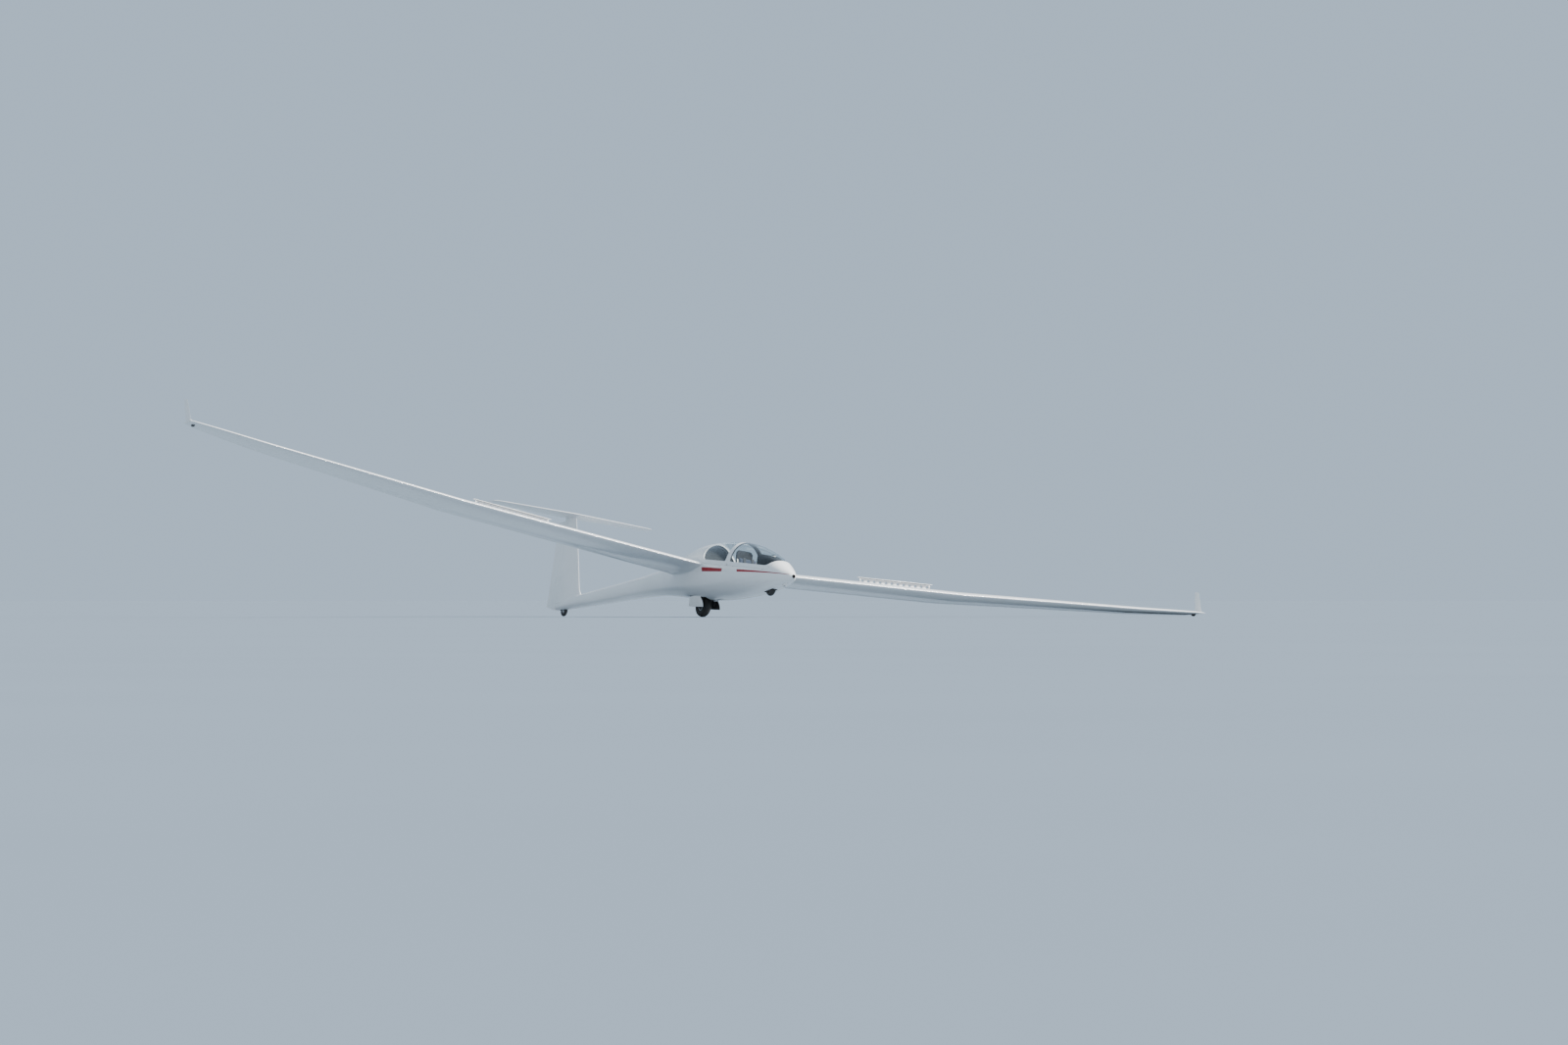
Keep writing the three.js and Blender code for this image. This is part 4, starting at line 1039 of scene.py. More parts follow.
def turned(profile, place, count=32, closed=False, material=0):
    """A mesh turned from a profile of [radius, height] about the z axis, and set in its place."""
    bm = bmesh.new()
    edges = ring(bm, [(radius, 0, height) for radius, height in profile])
    bm.verts.ensure_lookup_table()
    if not closed:
        last = bm.edges.get((bm.verts[0], bm.verts[len(profile) - 1]))
        bmesh.ops.delete(bm, geom=[last], context="EDGES")
        edges = list(bm.edges)
    bmesh.ops.spin(bm, geom=list(bm.verts) + edges, cent=(0, 0, 0), axis=(0, 0, 1), angle=2 * math.pi,
                   steps=count, use_merge=True)
    bmesh.ops.remove_doubles(bm, verts=bm.verts, dist=1e-6)
    bmesh.ops.recalc_face_normals(bm, faces=bm.faces)
    bmesh.ops.transform(bm, matrix=place, verts=bm.verts)
    return painted(bm, material)


def gathered(name, parts, *materials):
    """One object from several meshes."""
    whole = bmesh.new()
    for part in parts:
        mesh = bpy.data.meshes.new("part")
        part.to_mesh(mesh)
        part.free()
        whole.from_mesh(mesh)
        bpy.data.meshes.remove(mesh)
    return new_object(name, whole, *materials)


def heading(path, i):
    """The direction of a path at one of its points."""
    return (path[min(i + 1, len(path) - 1)] - path[max(i - 1, 0)]).normalized()


def tube(path, radius, sides=20, material=0):
    """A round bar along a path."""
    path = [Vector(point) for point in path]
    side = heading(path, 0).orthogonal().normalized()
    rings = []
    for i, point in enumerate(path):
        ahead = heading(path, i)
        side = (side - ahead * side.dot(ahead)).normalized()
        up = ahead.cross(side)
        rings.append([
            point + radius * (side * math.cos(turn) + up * math.sin(turn))
            for turn in (2 * math.pi * k / sides for k in range(sides))
        ])
    return painted(loft(bmesh.new(), rings), material)


def bent(points, radius, count=8):
    """A path through points, with its corners rounded."""
    path = [Vector(points[0])]
    for corner in zip(points, points[1:], points[2:]):
        path += eased(*corner, radius, count)
    return path + [Vector(points[-1])]


def plate(outline, y0, y1, material=0):
    """A flat plate from a side-view outline, between two distances from the middle."""
    bm = bmesh.new()
    edges = ring(bm, [(-station, y0, z) for station, z in outline])
    bmesh.ops.edgeloop_fill(bm, edges=edges)
    grown = bmesh.ops.extrude_face_region(bm, geom=list(bm.faces))["geom"]
    far = [item for item in grown if isinstance(item, bmesh.types.BMVert)]
    bmesh.ops.translate(bm, verts=far, vec=(0, y1 - y0, 0))
    bmesh.ops.recalc_face_normals(bm, faces=bm.faces)
    return painted(bm, material)


def placed(station, y, z, direction=(0, 0, 1)):
    """A place whose z axis runs in a direction."""
    turn = Vector(direction).to_track_quat("Z", "Y").to_matrix().to_4x4()
    return Matrix.Translation((-station, y, z)) @ turn


def bolt(place, size, material=0):
    """A hexagon head with a washer."""
    washer = [(0, 0), (size * 1.25, 0), (size * 1.25, size * 0.2), (size, size * 0.2)]
    head = [(size, size * 0.2), (size, size * 0.75), (size * 0.8, size * 0.9), (0, size * 0.9)]
    return [turned(washer + [(0, size * 0.2)], place, 16, material=material),
            turned([(0, size * 0.2)] + head, place, 6, material=material)]


def tyre_profile(radius, width, rim):
    """A tyre's round section with its ribs' grooves, and its beads on the rim."""
    half, depth = width / 2, radius - rim
    ribs = 2 if width < 0.1 else 4
    lands = [half * LAND_REACH * (2 * k / (ribs - 1) - 1) for k in range(ribs)]
    profile = []
    for i in range(81):
        turn = math.pi * 3 / 7 * (i - 40) / 40
        r, y = rim + depth * (SHOULDER + (1 - SHOULDER) * math.cos(turn) ** 0.75), half * math.sin(turn)
        grooved = any(abs(y - land) < GROOVE_HALF * width for land in lands)
        profile.append((r - (GROOVE_DEPTH * depth if grooved else 0), y))
    bead = [(rim + depth * 0.30, half * 0.97), (rim + depth * 0.12, half * 0.86),
            (rim + depth * 0.04, half * 0.80), (rim, half * 0.72)]
    return profile + bead + [(r, -y) for r, y in reversed(bead)]


SIDEWAYS = (0, 1, 0)
for place, (station, z, radius, width, rim, bore) in WHEELS.items():
    here = placed(station, 0, z, SIDEWAYS)
    tyre = turned(tyre_profile(radius - TYRE_WEAR, width, rim), here, TYRE_TURNS, closed=True)
    hung(new_object(f"{place}_ribbed_tyre", tyre, RUBBER), f"{place}_wheel", "tyre_rubber", f"{place}_tyre")

    half, outer = width * 0.36, rim - SEAM
    disc = [(bore + HUB_PLAY, -half * 0.95)]
    disc += [(bore * r, -half * y) for r, y in ((1.85, 0.95), (1.95, 0.88), (2.0, 0.40), (2.15, 0.34))]
    disc += [(outer * r, -half * y) for r, y in ((0.78, 0.28), (0.84, 0.36), (0.87, 0.92), (0.90, 1), (1, 1))]
    parts = [turned(disc + [(r, -y) for r, y in reversed(disc)], here, 64, closed=True)]
    reach, count = (bore * 2.15 + outer * 0.78) / 2, 6 if place == "main" else 5
    for k in range(count):
        turn = 2 * math.pi * k / count
        for face in (1, -1):
            middle = (station - reach * math.cos(turn), face * half * 0.31, z + reach * math.sin(turn))
            parts += bolt(placed(*middle, (0, face, 0)), 0.045 * rim + 0.0015)
    y, high = half * 0.3, z + outer * 0.72
    parts.append(tube([(-station, y, high), (-station, y + 0.022, high - 0.006)], 0.003, 10))
    hung(gathered(f"{place}_wheel_rim", parts, CAST), f"{place}_wheel", "wheel_metal", f"{place}_rim")


# Axles. Turned steel bars with chamfered ends, on which the rims run. They are held in the main wheel's arms
# and in the walls of the nose and tail wheels' wells.
STEEL = mottled("turned_steel", (90, 2, 0.5, (0.2, 6, 0.2)),
                (0.3, (0.42, 0.42, 0.43)), (0.7, (0.56, 0.56, 0.57)), 0.22, 0.2,
                relief=(0.0002, 0.5), Metallic=1.0)
AXLE_HALVES = {"main": 0.112, "nose": 0.0547, "tail": 0.0357}
for place, (station, z, radius, width, rim, bore) in WHEELS.items():
    half = AXLE_HALVES[place]
    profile = [(0, -half), (bore * 0.85, -half), (bore, -half + 0.0015), (bore, half - 0.0015),
               (bore * 0.85, half), (0, half)]
    axle = new_object(f"{place}_wheel_axle", turned(profile, placed(station, 0, z, SIDEWAYS)), STEEL)
    hung(axle, "airframe", "axle_steel", f"{place}_axle")


# Main undercarriage. Two trailing arms of grey-painted steel swing on a cross tube in the wheel well, and
# carry the axle. A brace from a second cross tube holds each arm down, and a hose feeds the wheel's brake.
def painted_steel():
    finish = Finish("grey_painted_steel")
    chips = finish.noise(70, 5, 0.7)
    tone = finish.ramp(finish.noise(12, 4), (0.3, (0.075, 0.078, 0.082)), (0.7, (0.115, 0.118, 0.122)))
    worn = chips > 0.66
    tone = finish.mix(0.6 * worn, tone, (0.24, 0.235, 0.225))
    return finish.surface(tone, 0.42 + 0.25 * finish.noise(60, 3), Metallic=0.25 * worn,
                          Normal=finish.bump(finish.noise(320, 3), 0.0004, 0.4))


PAINTED_STEEL = painted_steel()
ARM_INNER, ARM_OUTER = 0.084, 0.098
ARM_PIVOT, ARM_BRACE, BRACE_FOOT = (2.850, 0.030), (3.215, 0.096), (2.990, -0.140)
AXLE_PLACE = WHEELS["main"][:2]


def arm_outline():
    """The side view of a trailing arm, from its pivot to the axle."""
    start, end = Vector(ARM_PIVOT), Vector(AXLE_PLACE)
    along = (end - start).normalized()
    across = Vector((-along.y, along.x))
    corners = [(start, -0.024, -0.024), (end, 0.020, -0.024), (end, 0.030, -0.012), (end, 0.030, 0.012),
               (end, 0.020, 0.024), (start, -0.024, 0.024)]
    return rounded([tuple(base + along * a + across * b) for base, a, b in corners], 0.012, 4)


parts = []
for side in (1, -1):
    y = side * (ARM_INNER + ARM_OUTER) / 2
    parts.append(plate(arm_outline(), side * ARM_INNER, side * ARM_OUTER))
    parts.append(tube([(-BRACE_FOOT[0], y, BRACE_FOOT[1]), (-ARM_BRACE[0], y, ARM_BRACE[1])], 0.011, 20))
    for (station, z), size in ((ARM_PIVOT, 0.017), (BRACE_FOOT, 0.009)):
        parts += bolt(placed(station, side * ARM_OUTER, z, (0, side, 0)), size)
reach = MAIN_WELL[2] - SEAM
for (station, z), radius, sides in ((ARM_PIVOT, 0.022, 32), (ARM_BRACE, 0.014, 24)):
    parts.append(tube([(-station, -reach, z), (-station, reach, z)], radius, sides))
hose = bent([(-2.86, 0.112, 0.06), (-2.90, 0.116, -0.06), (-3.00, 0.112, -0.18), (-3.045, 0.104, -0.245)],
            0.05, 6)
parts.append(tube(hose, 0.004, 10, material=1))
hung(gathered("main_gear_frame", parts, PAINTED_STEEL, DARK_AND_SHADE), "airframe", "gear_steel", "main_gear_fork")


# Undercarriage doors. Two thin glass-fibre sheets hang from the long edges of the main wheel well, white
# outside and near black inside, which is painted shade, each on two small hinges.
DOOR_Y, DOOR_THICK, DOOR_HINGES, LEAF_THICK = 0.158, 0.009, (2.960, 3.200), 0.004
DOOR_OUTLINE = [
    (3.272, -0.284), (3.180, -0.296), (2.960, -0.318), (2.768, -0.336), (2.779, -0.290), (2.800, -0.250),
    (2.832, -0.212), (2.876, -0.170), (2.910, -0.120), (3.272, -0.120),
]


def oblong(station, z, length, height):
    """An upright oblong's outline in side view."""
    ahead, low = station - length / 2, z - height / 2
    return [(ahead, low), (ahead + length, low), (ahead + length, low + height), (ahead, low + height)]


for side, name in SIDES:
    sheet = plate(DOOR_OUTLINE, side * DOOR_Y, side * (DOOR_Y + DOOR_THICK))
    long_edges = [edge for edge in sheet.edges if edge.calc_length() > 0.05]
    bmesh.ops.subdivide_edges(sheet, edges=long_edges, cuts=8, use_grid_fill=True)
    for vert in sheet.verts:
        vert.co.z = min(vert.co.z, hull_height(-vert.co.x, vert.co.y, below=True) - 0.0005)
    # The door's inner face and edges take the near-black painted shade.
    for face in sheet.faces:
        face.material_index = 0 if face.normal.y * side > 0.5 else 1
    parts = [taken_apart(bevelled(new_object("door_sheet", sheet, WHITE, DARK_AND_SHADE), 0.0012))]
    for station in DOOR_HINGES:
        high, low = hull_height(station, DOOR_Y, below=True) - 0.004, -0.262
        y = side * (DOOR_Y - 0.001)
        front = y - side * LEAF_THICK
        parts.append(plate(rounded(oblong(station, (high + low) / 2, 0.022, high - low), 0.006, 3),
                           y, front, material=2))
        hinge_pin = [(-station - 0.02, front, high), (-station + 0.02, front, high)]
        parts.append(tube(hinge_pin, 0.005, 12, material=2))
        for z in (high - 0.022, low + 0.016):
            parts += bolt(placed(station, front, z, (0, -side, 0)), 0.0045, material=2)
            parts.append(turned([(0, 0), (0.006, 0), (0.0052, 0.0012), (0, 0.0018)],
                                placed(station, side * (DOOR_Y + DOOR_THICK), z, (0, side, 0)), 16))
    door = gathered(f"gear_door_{name}", parts, WHITE, DARK_AND_SHADE, PAINTED_STEEL)
    hung(door, "airframe", "gelcoat", f"main_gear_door_{name}")


# Nose fittings. A box of light glass fibre closes the nose wheel's well off from the cockpit. Each tow hook
# is a small steel housing on the underside, and a white plinth joins the front one to the nose's skin.
SHELL = mottled("light_grey_shell", (9, 4), (0.3, (0.42, 0.42, 0.40)), (0.7, (0.50, 0.50, 0.48)),
                0.45, 0.2, (50, 3), (260, 3, 0.0005, 0.4))


def kept(node, material, bevel=0.0):
    """Gives a CAD node that stays its material, and rounds its edges."""
    obj = frame["nodes"][node]
    obj.data.materials.clear()
    obj.data.materials.append(material)
    if bevel:
        weld = obj.modifiers.new("weld", "WELD")
        weld.merge_threshold = 1e-5
        edges = obj.modifiers.new("edges", "BEVEL")
        edges.width, edges.segments, edges.profile = bevel, 2, 0.5
        edges.limit_method, edges.angle_limit, edges.material = "ANGLE", math.radians(35), -1
    return obj


kept("nose_wheel_box", SHELL, 0.003)
kept("nose_tow_hook", STEEL, 0.0015)
kept("belly_tow_hook", STEEL, 0.0015)
PLINTH_HALF = 0.0215
plinth = rounded([(0.312, -0.090), (0.408, -0.105), (0.398, -0.1465), (0.322, -0.1430)], 0.010)
plinth = new_object("nose_hook_plinth", plate(plinth, -PLINTH_HALF, PLINTH_HALF), WHITE)
hung(plinth, "airframe", "gelcoat")


# Cockpit seats. Each is a moulded glass-fibre bucket with a turned-up rim, and carries a seat cushion and a
# back cushion in blue-grey woven covers, with sewn channels. The covers are darkened well below their own
# blue-grey as painted shade of the cockpit. A dark panel closes the cabin off behind them.

# Station of each seat's front edge, height of its floor
SEATS = {"front": (1.120, -0.128), "rear": (2.040, -0.096)}
# Behind the seat's front edge, over its floor
SEAT_PATH = [(0, 0.062), (0.060, 0.034), (0.290, 0.006), (0.362, 0.030), (0.420, 0.110), (0.560, 0.420),
             (0.592, 0.520)]
SEAT_HALF, RIM_HEIGHT, SEAT_COLUMNS = 0.212, 0.030, 28
# First and last point of the path that a cushion lies on, thickness, half width
PADS = {"seat": (1, 3, 0.046, 0.190), "back": (4, 6, 0.050, 0.180)}
PAD_SHRINK, PAD_BULGE = 0.005, 0.009
PAD_WAY, PAD_GAP = Vector((-0.55, 0.85)), Vector((-0.004, 0.007))
CHANNEL_DEPTH, CHANNEL_WIDTH = 0.0045, 0.006
CLOTH_STEPS, CLOTH_PRESSURE = 20, 4


def woven_cloth():
    finish = Finish("blue_grey_cloth_in_painted_shade")
    place = finish.place()
    ahead, across, up = (finish.wave(2600, axis, place) for axis in (0, 1, 2))
    weave = ahead * across + across * up
    fade = finish.noise(7, 4, 0.6)
    # Both tones are far darker than the cloth's own blue-grey: painted shade of the cockpit.
    tone = finish.ramp(fade, (0.3, (0.020, 0.027, 0.050)), (0.72, (0.036, 0.047, 0.082)))
    tone = finish.mix(0.35 * (weave > 0.5), tone, (0.075, 0.090, 0.130))
    return finish.surface(tone, 0.88, Sheen_Weight=0.25, Sheen_Roughness=0.5,
                          Normal=finish.bump(weave, 0.0006, 0.5))


CLOTH = woven_cloth()
for place, (station, floor) in SEATS.items():
    path = bent([(-(station + s), 0, floor + z) for s, z in SEAT_PATH], 0.09, 10)
    last = len(path) - 1
    bm = bmesh.new()
    for vert in bmesh.ops.create_grid(bm, x_segments=last, y_segments=SEAT_COLUMNS, size=1)["verts"]:
        i = round((vert.co.x + 1) / 2 * last)
        across = vert.co.y
        normal = heading(path, i).cross(Vector((0, 1, 0)))
        if normal.z < 0 or (abs(normal.z) < 0.3 and normal.x < 0):
            normal = -normal
        vert.co = path[i] + normal * RIM_HEIGHT * abs(across) ** 8 + Vector((0, across * SEAT_HALF, 0))
    bmesh.ops.recalc_face_normals(bm, faces=bm.faces)
    shell = new_object(f"{place}_seat_bucket", bm, SHELL)
    worked(shell, "SOLIDIFY", thickness=0.007, offset=-1)
    hung(bevelled(shell, 0.002), "airframe", "seat_shell", f"{place}_seat_shell")


def softened(bm, width):
    """A block with all of its edges and corners rounded."""
    bmesh.ops.bevel(bm, geom=list(bm.edges) + list(bm.verts), offset=width, offset_type="OFFSET",
                    affect="EDGES", segments=3, profile=0.5, material=-1)
    return bm


def stuffed(name, outline, half, channels, *replaced):
    """A stuffed cushion: a smaller block blown up as cloth, then drawn in along its sewn channels."""
    pad = new_object(name, softened(plate(outline, -half, half), 0.012), CLOTH)
    worked(pad, "REMESH", mode="VOXEL", voxel_size=0.006)
    start = [vert.co.copy() for vert in pad.data.vertices]
    cloth = pad.modifiers.new("cloth", "CLOTH")
    cloth.settings.use_pressure = True
    cloth.settings.uniform_pressure_force = CLOTH_PRESSURE
    cloth.settings.effector_weights.gravity = 0
    cloth.point_cache.frame_start, cloth.point_cache.frame_end = 1, CLOTH_STEPS
    for step in range(1, CLOTH_STEPS + 1):
        scene.frame_set(step)
    blown = bpy.data.meshes.new_from_object(pad.evaluated_get(bpy.context.evaluated_depsgraph_get()))
    pad.modifiers.clear()
    for vert, was in zip(blown.vertices, start):
        moved = vert.co - was
        if moved.length > PAD_BULGE:
            vert.co = was + moved.normalized() * PAD_BULGE
    pad.data = blown
    scene.frame_set(1)
    worked(pad, "SUBSURF", levels=1, render_levels=1)
    outward = [normal.vector.copy() for normal in pad.data.vertex_normals]
    for vert, normal in zip(pad.data.vertices, outward):
        place = vert.co.copy()
        for (x, z), (ahead, up) in channels:
            off = (place.x - x) * ahead + (place.z - z) * up
            vert.co -= normal * CHANNEL_DEPTH * math.exp(-(off / CHANNEL_WIDTH) ** 2)
    hung(pad, "airframe", "seat_cloth", *replaced, crease=80)


def seat_point(place, k):
    """A point of the seat's path as its station and height."""
    station, floor = SEATS[place]
    return Vector((station + SEAT_PATH[k][0], floor + SEAT_PATH[k][1]))


def pad_rise(kind):
    """The way from a cushion's back to its face."""
    return PADS[kind][2] * PAD_WAY


for place in SEATS:
    for kind, (first, last, thick, half) in PADS.items():
        points = [seat_point(place, k) for k in range(first, last + 1)]
        top = [p + pad_rise(kind) * (1 - PAD_SHRINK / thick) for p in points]
        low = [p + PAD_GAP for p in points]
        channels = []
        for share in (0.25, 0.5, 0.75):
            along = share * (len(points) - 1)
            i = min(int(along), len(points) - 2)
            spot = points[i].lerp(points[i + 1], along - i)
            run = (points[i + 1] - points[i]).normalized()
            channels.append(((-spot.x, spot.y), (-run.x, run.y)))
        stuffed(f"{place}_{kind}_pad", [tuple(p) for p in top + low[::-1]], half - PAD_SHRINK, channels,
                f"{place}_{kind}_cushion")

# The panel's station at its top, share of the hull's width, and middle; its lean below a height; its dish
PANEL, PANEL_REACH, PANEL_MIDDLE = 2.815, 0.975, 0.270
LEAN, LEAN_BELOW, DISH, PANEL_THICK = 0.27, 0.6, 0.030, 0.006
shares_out = [0.04, 0.2, 0.4, 0.6, 0.75, 0.88, 0.96, 1.0]
rings = []
for share, back in [(s, 0) for s in shares_out] + [(s, PANEL_THICK) for s in reversed(shares_out)]:
    rings.append([])
    for _, y, z in hull_ring(PANEL):
        y, z = y * PANEL_REACH * share, PANEL_MIDDLE + (z - PANEL_MIDDLE) * PANEL_REACH * share
        station = PANEL - LEAN * max(0, LEAN_BELOW - z) + DISH * (1 - share**2) + back
        rings[-1].append((-station, y, z))
hung(new_object("cabin_rear_panel", loft(bmesh.new(), rings), DARK_AND_SHADE), "airframe", "dark_trim")


# Harnesses. Four flat dark belts on each seat meet in a round buckle: two over the back cushion, two from the
# seat's sides.
def webbing():
    finish = Finish("dark_webbing")
    ribs = finish.wave(3200, 1, finish.place())
    tone = finish.ramp(finish.noise(24, 3), (0.3, (0.020, 0.021, 0.024)), (0.7, (0.040, 0.041, 0.046)))
    return finish.surface(tone, 0.8, Normal=finish.bump(ribs, 0.0005, 0.5))


WEBBING = webbing()
BELT_WIDTH, BELT_THICK = 0.045, 0.002


def belt(path, across):
    """A flat belt along a path, its width in one direction."""
    across = Vector(across)
    rings = []
    for i, point in enumerate(path):
        ahead = heading(path, i)
        side = (across - ahead * ahead.dot(across)).normalized() * BELT_WIDTH / 2
        up = ahead.cross(side).normalized() * BELT_THICK / 2
        rings.append([point + side + up, point + up * 1.3, point - side + up,
                      point - side - up, point - up * 1.3, point + side - up])
    return loft(bmesh.new(), rings)


BUCKLE = [(0, -0.006), (0.026, -0.006), (0.030, -0.002), (0.030, 0.006), (0.026, 0.011), (0.012, 0.012),
          (0.010, 0.015), (0, 0.015)]
facing = (-pad_rise("back").x, 0, pad_rise("back").y)
for place in SEATS:
    hip, waist, chest, high = (seat_point(place, k) for k in (3, 4, 5, 6))
    over = pad_rise("back") + Vector((-0.010, 0.012))
    chest += over
    waist += over + Vector((0.004, 0.006))
    lap = hip + pad_rise("seat") + Vector((-0.012, 0.014))
    parts = []
    for side in (1, -1):
        shoulder = [(high.x + 0.006, 0.085, high.y - 0.004), (high.x + over.x - 0.004, 0.082, high.y + 0.050),
                    (chest.x, 0.078, chest.y), (waist.x, 0.050, waist.y), (lap.x, 0.022, lap.y)]
        around = [(hip.x - 0.004, 0.206, hip.y + 0.006), (hip.x - 0.02, 0.196, hip.y + 0.075),
                  (lap.x + 0.01, 0.120, lap.y + 0.014), (lap.x - 0.004, 0.022, lap.y + 0.003)]
        for way, across in ((shoulder, (0, 1, 0)), (around, (1, 0, 0.35))):
            parts.append(belt(bent([(-s, side * y, z) for s, y, z in way], 0.05, 6), across))
    parts.append(turned(BUCKLE, placed(lap.x - 0.006, 0, lap.y + 0.010, facing), material=1))
    hung(gathered(f"{place}_harness", parts, WEBBING, STEEL), "airframe", "dark_trim")


# Instruments. A matt black hood stands on a pedestal ahead of the front seat, with a plate of dials in its
# back face and a compass on its top. The rear seat has a flat panel of its own.
TRIM = mottled("matt_black_trim", (18, 4), (0.3, (0.009, 0.009, 0.010)), (0.7, (0.018, 0.018, 0.020)),
               0.66, 0.2, (120, 3), (150, 3, 0.0004, 0.2), Specular_IOR_Level=0.3)
DIAL = mottled("dial_face", (60, 2), (0.3, (0.010, 0.010, 0.011)), (0.7, (0.016, 0.016, 0.017)), 0.25)
MARKS = mottled("dial_marks", (200, 2), (0.3, (0.70, 0.70, 0.66)), (0.7, (0.78, 0.78, 0.74)), 0.5)
# Station, half width, low, high
FRONT_HOOD = [(0.485, 0.034, 0.218, 0.258), (0.590, 0.060, 0.216, 0.296), (0.690, 0.092, 0.214, 0.330),
              (0.760, 0.140, 0.216, 0.372), (0.880, 0.176, 0.212, 0.410), (1.030, 0.196, 0.192, 0.436)]
REAR_PANEL = [(1.800, 0.150, 0.318, 0.560), (1.826, 0.158, 0.312, 0.570)]
HOOD_BACK, HOOD_RIM, HOOD_SINK, DIAL_STAND = 1.030, 0.010, 0.022, 0.002
REAR_FACE, FACE_AREA = 1.8275, 0.02
# y, height and radius of each dial
FRONT_DIALS = [(0.100, 0.345, 0.038), (0.0, 0.360, 0.040), (-0.100, 0.345, 0.038), (0.110, 0.250, 0.028),
               (0.035, 0.262, 0.030), (-0.040, 0.262, 0.030), (-0.115, 0.250, 0.028)]
REAR_DIALS = [(0.080, 0.490, 0.038), (0.0, 0.500, 0.040), (-0.080, 0.490, 0.038), (0.085, 0.390, 0.030),
              (0.010, 0.395, 0.030), (-0.070, 0.390, 0.028)]
DIAL_MARKS, POINTER_TURN = 12, 90
COMPASS_CASE = [(0, 0), (0.030, 0), (0.033, 0.006), (0.034, 0.028), (0.028, 0.042), (0.014, 0.050),
                (0, 0.051)]
COMPASS_CARD = [(0.0342, 0.012), (0.0350, 0.012), (0.0350, 0.026), (0.0342, 0.026)]


def hood_ring(station, half, low, high):
    """A hood's section: a flat bottom, upright sides and two round upper corners."""
    corner = 0.4 * half
    over = []
    for turn in steps(0, math.pi / 2, 12):
        over.append((half - corner * (1 - math.cos(turn)), high - corner * (1 - math.sin(turn))))
    points = [(half, low)] + over + [(-y, z) for y, z in reversed(over)] + [(-half, low)]
    return [(-station, y, z) for y, z in points]


def dial(station, y, z, radius):
    """A round instrument that faces aft: bezel, sunk face, pointer and marks."""
    here = placed(station, y, z, (-1, 0, 0))
    bezel = [(radius * 0.82, -0.004), (radius, -0.004), (radius, 0.004), (radius * 0.94, 0.006),
             (radius * 0.86, 0.006), (radius * 0.82, 0.002)]
    face = [(0, -0.002), (radius * 0.83, -0.002), (radius * 0.83, 0.0005), (0, 0.0005)]
    # Turn, distance from the middle, height, width, length of each bar
    bars = [(2 * math.pi * (k + 0.5) / DIAL_MARKS, 0.68, 0.0008, 0.045, 0.16) for k in range(DIAL_MARKS)]
    bars.append((radius * POINTER_TURN, 0.22, 0.0014, 0.06, 0.70))
    parts = [turned(bezel, here, 40, closed=True), turned(face, here, 40, material=1)]
    for turn, out, up, width, length in bars:
        place = here @ Matrix.Rotation(turn, 4, "Z") @ Matrix.Translation((0, radius * out, up))
        parts.append(block(place, (radius * width, radius * length, 0.0008), material=2))
    return parts


bm = loft(bmesh.new(), [hood_ring(s, *smooth_row(FRONT_HOOD, s)) for s in steps(0.485, HOOD_BACK, 26)])
back = [face for face in bm.faces if mid(face)[0] > HOOD_BACK - SEAM]
bmesh.ops.inset_region(bm, faces=back, thickness=HOOD_RIM, depth=0.0)
sunk = [face for face in bm.faces if mid(face)[0] > HOOD_BACK - SEAM and face.calc_area() > FACE_AREA]
bmesh.ops.inset_region(bm, faces=sunk, thickness=0.001, depth=-HOOD_SINK)
pedestal = [(0.962, -0.180), (1.026, -0.180), (1.026, 0.200), (0.962, 0.200)]
parts = [bm, softened(plate(pedestal, -0.062, 0.062), 0.008)]
for y, z, radius in FRONT_DIALS:
    parts += dial(HOOD_BACK - HOOD_SINK + DIAL_STAND, y, z, radius)
compass = placed(0.768, -0.030, 0.366)
parts += [turned(COMPASS_CASE, compass), turned(COMPASS_CARD, compass, closed=True, material=2)]
hung(gathered("front_instrument_hood", parts, TRIM, DIAL, MARKS), "airframe", "dark_trim",
     "front_instrument_pod")

parts = [loft(bmesh.new(), [hood_ring(s, *straight_row(REAR_PANEL, s)) for s in steps(1.800, 1.826, 3)])]
for y, z, radius in REAR_DIALS:
    parts += dial(REAR_FACE, y, z, radius)
hung(gathered("rear_instrument_plate", parts, TRIM, DIAL, MARKS), "airframe", "dark_trim",
     "rear_instrument_panel")


# Controls. A black stick with a moulded grip and a pleated boot stands ahead of each seat cushion, and a pair
# of pedals hangs on a cross bar in the front footwell.
GRIP = [(0, -0.006), (0.012, -0.006), (0.0155, 0.004), (0.0165, 0.020), (0.0150, 0.034), (0.0168, 0.050),
        (0.0152, 0.066), (0.0170, 0.084), (0.0160, 0.096), (0.010, 0.103), (0, 0.104)]
BOOT = [(0, 0), (0.056, 0), (0.060, 0.004), (0.044, 0.016), (0.048, 0.022), (0.034, 0.036), (0.037, 0.042),
        (0.022, 0.058), (0.024, 0.064), (0.0105, 0.078), (0, 0.078)]
GRIP_LEAN = Vector((-0.010, 0, 0.104))
for place, station, floor in (("front", 1.085, -0.186), ("rear", 1.975, -0.180)):
    parts = [tube([(-station, 0, floor), (-(station + 0.026), 0, floor + 0.210)], 0.010),
             turned(GRIP, placed(station + 0.0245, 0, floor + 0.199, GRIP_LEAN), 28),
             turned(BOOT, placed(station, 0, floor), 36)]
    hung(gathered(f"{place}_control_stick", parts, TRIM), "airframe", "dark_trim", f"{place}_stick")
kept("front_rudder_pedals", PAINTED_STEEL, 0.003)


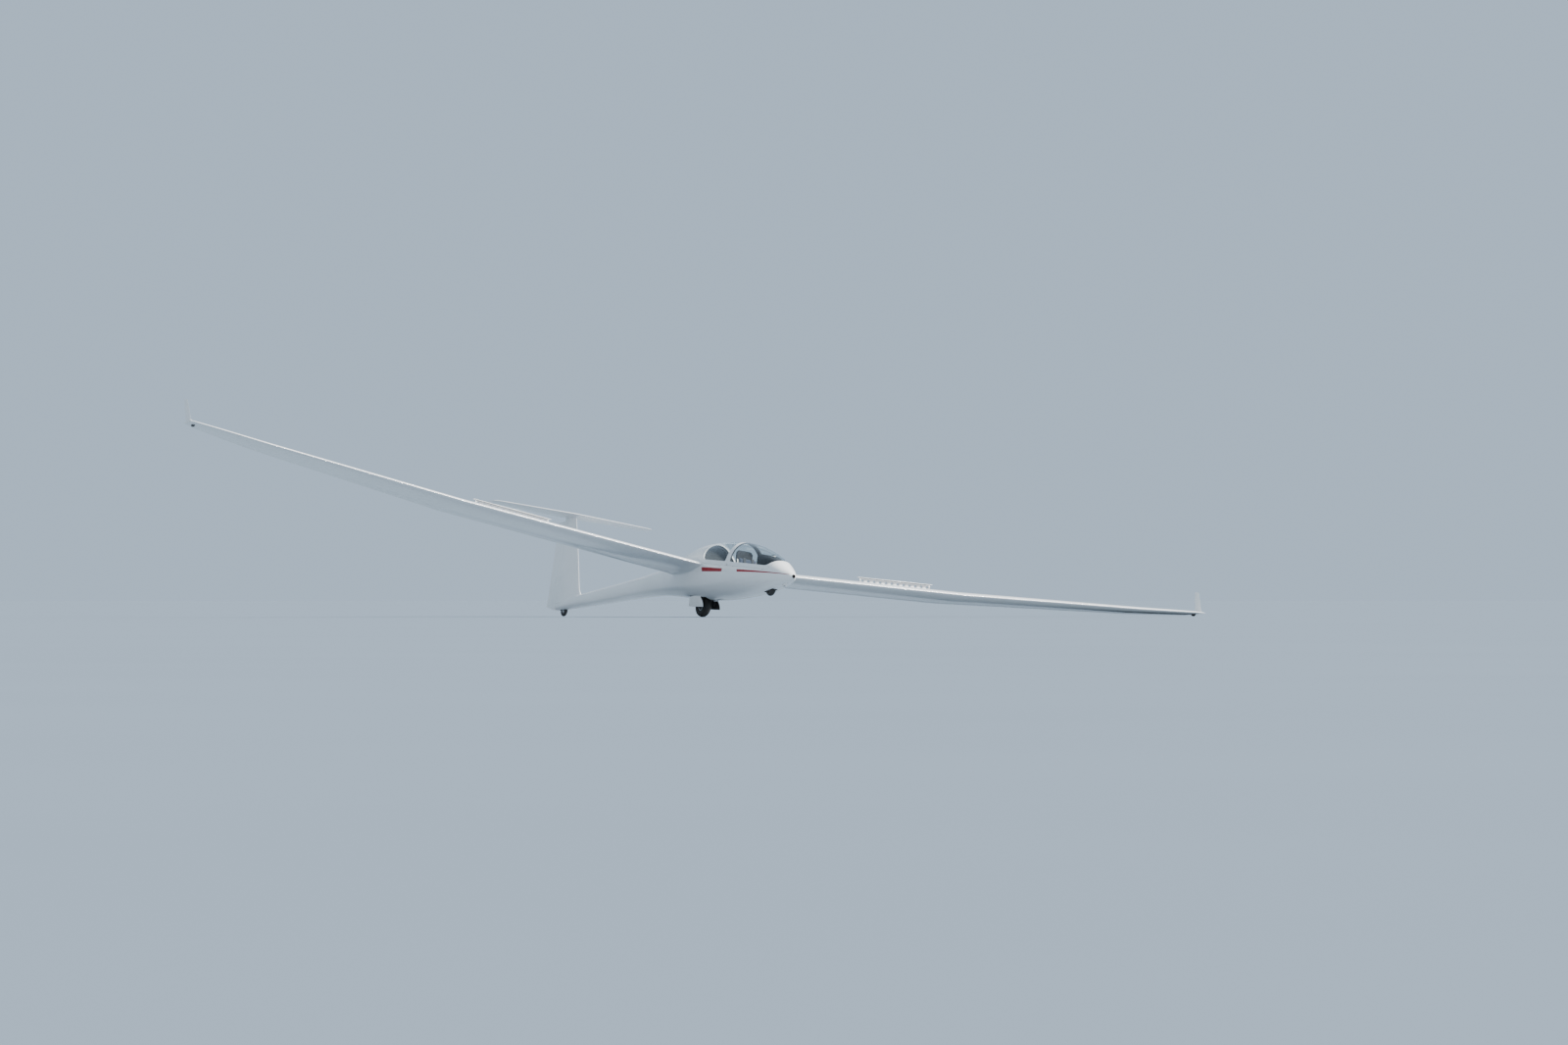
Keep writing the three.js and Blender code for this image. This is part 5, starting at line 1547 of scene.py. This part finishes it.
# Small fittings. A black intake ring fills the tip of the nose, a thin black tube with a bent white tip
# reaches forward from the fin for the variometer, and a worn runner stands under each wing tip. Latch pins
# sit under the canopies, and two small plates high on each side of the fin.
SCUFFED = mottled("scuffed_skid_plastic", (60, 5, 0.7, (0.4, 3, 3)),
                  (0.35, (0.020, 0.020, 0.021)), (0.75, (0.110, 0.108, 0.104)), 0.5, 0.3, relief=(0.001, 0.5))
LIP = [(0, -0.027), (0.019, -0.027), (0.019, -0.001), (0.0205, 0.002), (0.024, 0.003), (0.0305, 0.0025),
       (0.0325, 0.0), (0.0335, -0.004), (0.0310, -0.0045), (0.0270, -0.001), (0.0270, -0.050), (0, -0.050)]
intake = Matrix.Translation(NOSE_TIP) @ placed(0, 0, 0, (1, 0, 0))
hung(new_object("nose_intake_ring", turned(LIP, intake, 48), TRIM), "airframe", "dark_trim",
     "nose_air_intake")

PROBE = [(7.900, 1.3255), (7.365, 1.331), (7.300, 1.246)]
path = bent([(-s, 0, z) for s, z in PROBE], 0.022, 8)
knee = len(path) // 2
parts = [tube(path[:knee + 1], 0.007, 16), tube(path[knee:], 0.006, 16, 1)]
hung(gathered("variometer_tube", parts, TRIM, WHITE), "airframe", "gear_steel", "variometer_probe")

# Station, height
LATCH_PINS = [(1.993, 0.271), (1.557, 0.226), (0.662, 0.112)]
PIN = [(0, -0.004), (0.0065, -0.004), (0.0065, 0.0010), (0.0050, 0.0030), (0.0022, 0.0036), (0, 0.0036)]
parts = [turned(PIN, placed(station, side * hull_side(station, z), z, (0, side, 0)), 20)
         for station, z in LATCH_PINS for side in (1, -1)]
hung(gathered("canopy_latch_pins", parts, TRIM), "airframe", "dark_trim")

# Station, height, length, depth
FIN_MARKS = [(8.182, 1.593, 0.004, 0.034), (8.183, 1.517, 0.016, 0.006)]
parts = []
for station, z, length, height in FIN_MARKS:
    edge, back, ratio = straight_row(FIN, z)
    y = half_thickness((station - edge) / (back - edge), ratio) * (back - edge)
    outline = rounded(oblong(station, z, length, height), 0.0018, 3)
    parts += [plate(outline, side * (y - 0.004), side * (y + 0.0008)) for side in (1, -1)]
hung(gathered("fin_vent_plates", parts, TRIM), "airframe", "dark_trim")

SKID_Y, SKID_STATION, SKID_LENGTH, SKID_HALF = 9.860, 3.064, 0.112, 0.015
SKID_DEPTH, SKID_ROOT = 0.0312, 0.012
skid_top = straight_row(WING, SKID_Y)[1] - 0.006
for side, name in SIDES:
    rings = []
    for share in steps(-0.999, 0.999, 30):
        low = skid_top - SKID_ROOT - SKID_DEPTH * math.sqrt(1 - share * share)
        section = [(1, skid_top), (1, low + 0.008), (0.8, low + 0.003), (0.45, low)]
        section = [(-out, z) for out, z in section] + section[::-1]
        station = SKID_STATION + share * SKID_LENGTH / 2
        rings.append([(-station, side * (SKID_Y + out * SKID_HALF), z) for out, z in section])
    hung(lofted(f"tip_runner_{name}", rings, SCUFFED), "airframe", "skid_plastic", f"tip_skid_{name}")

low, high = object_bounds()
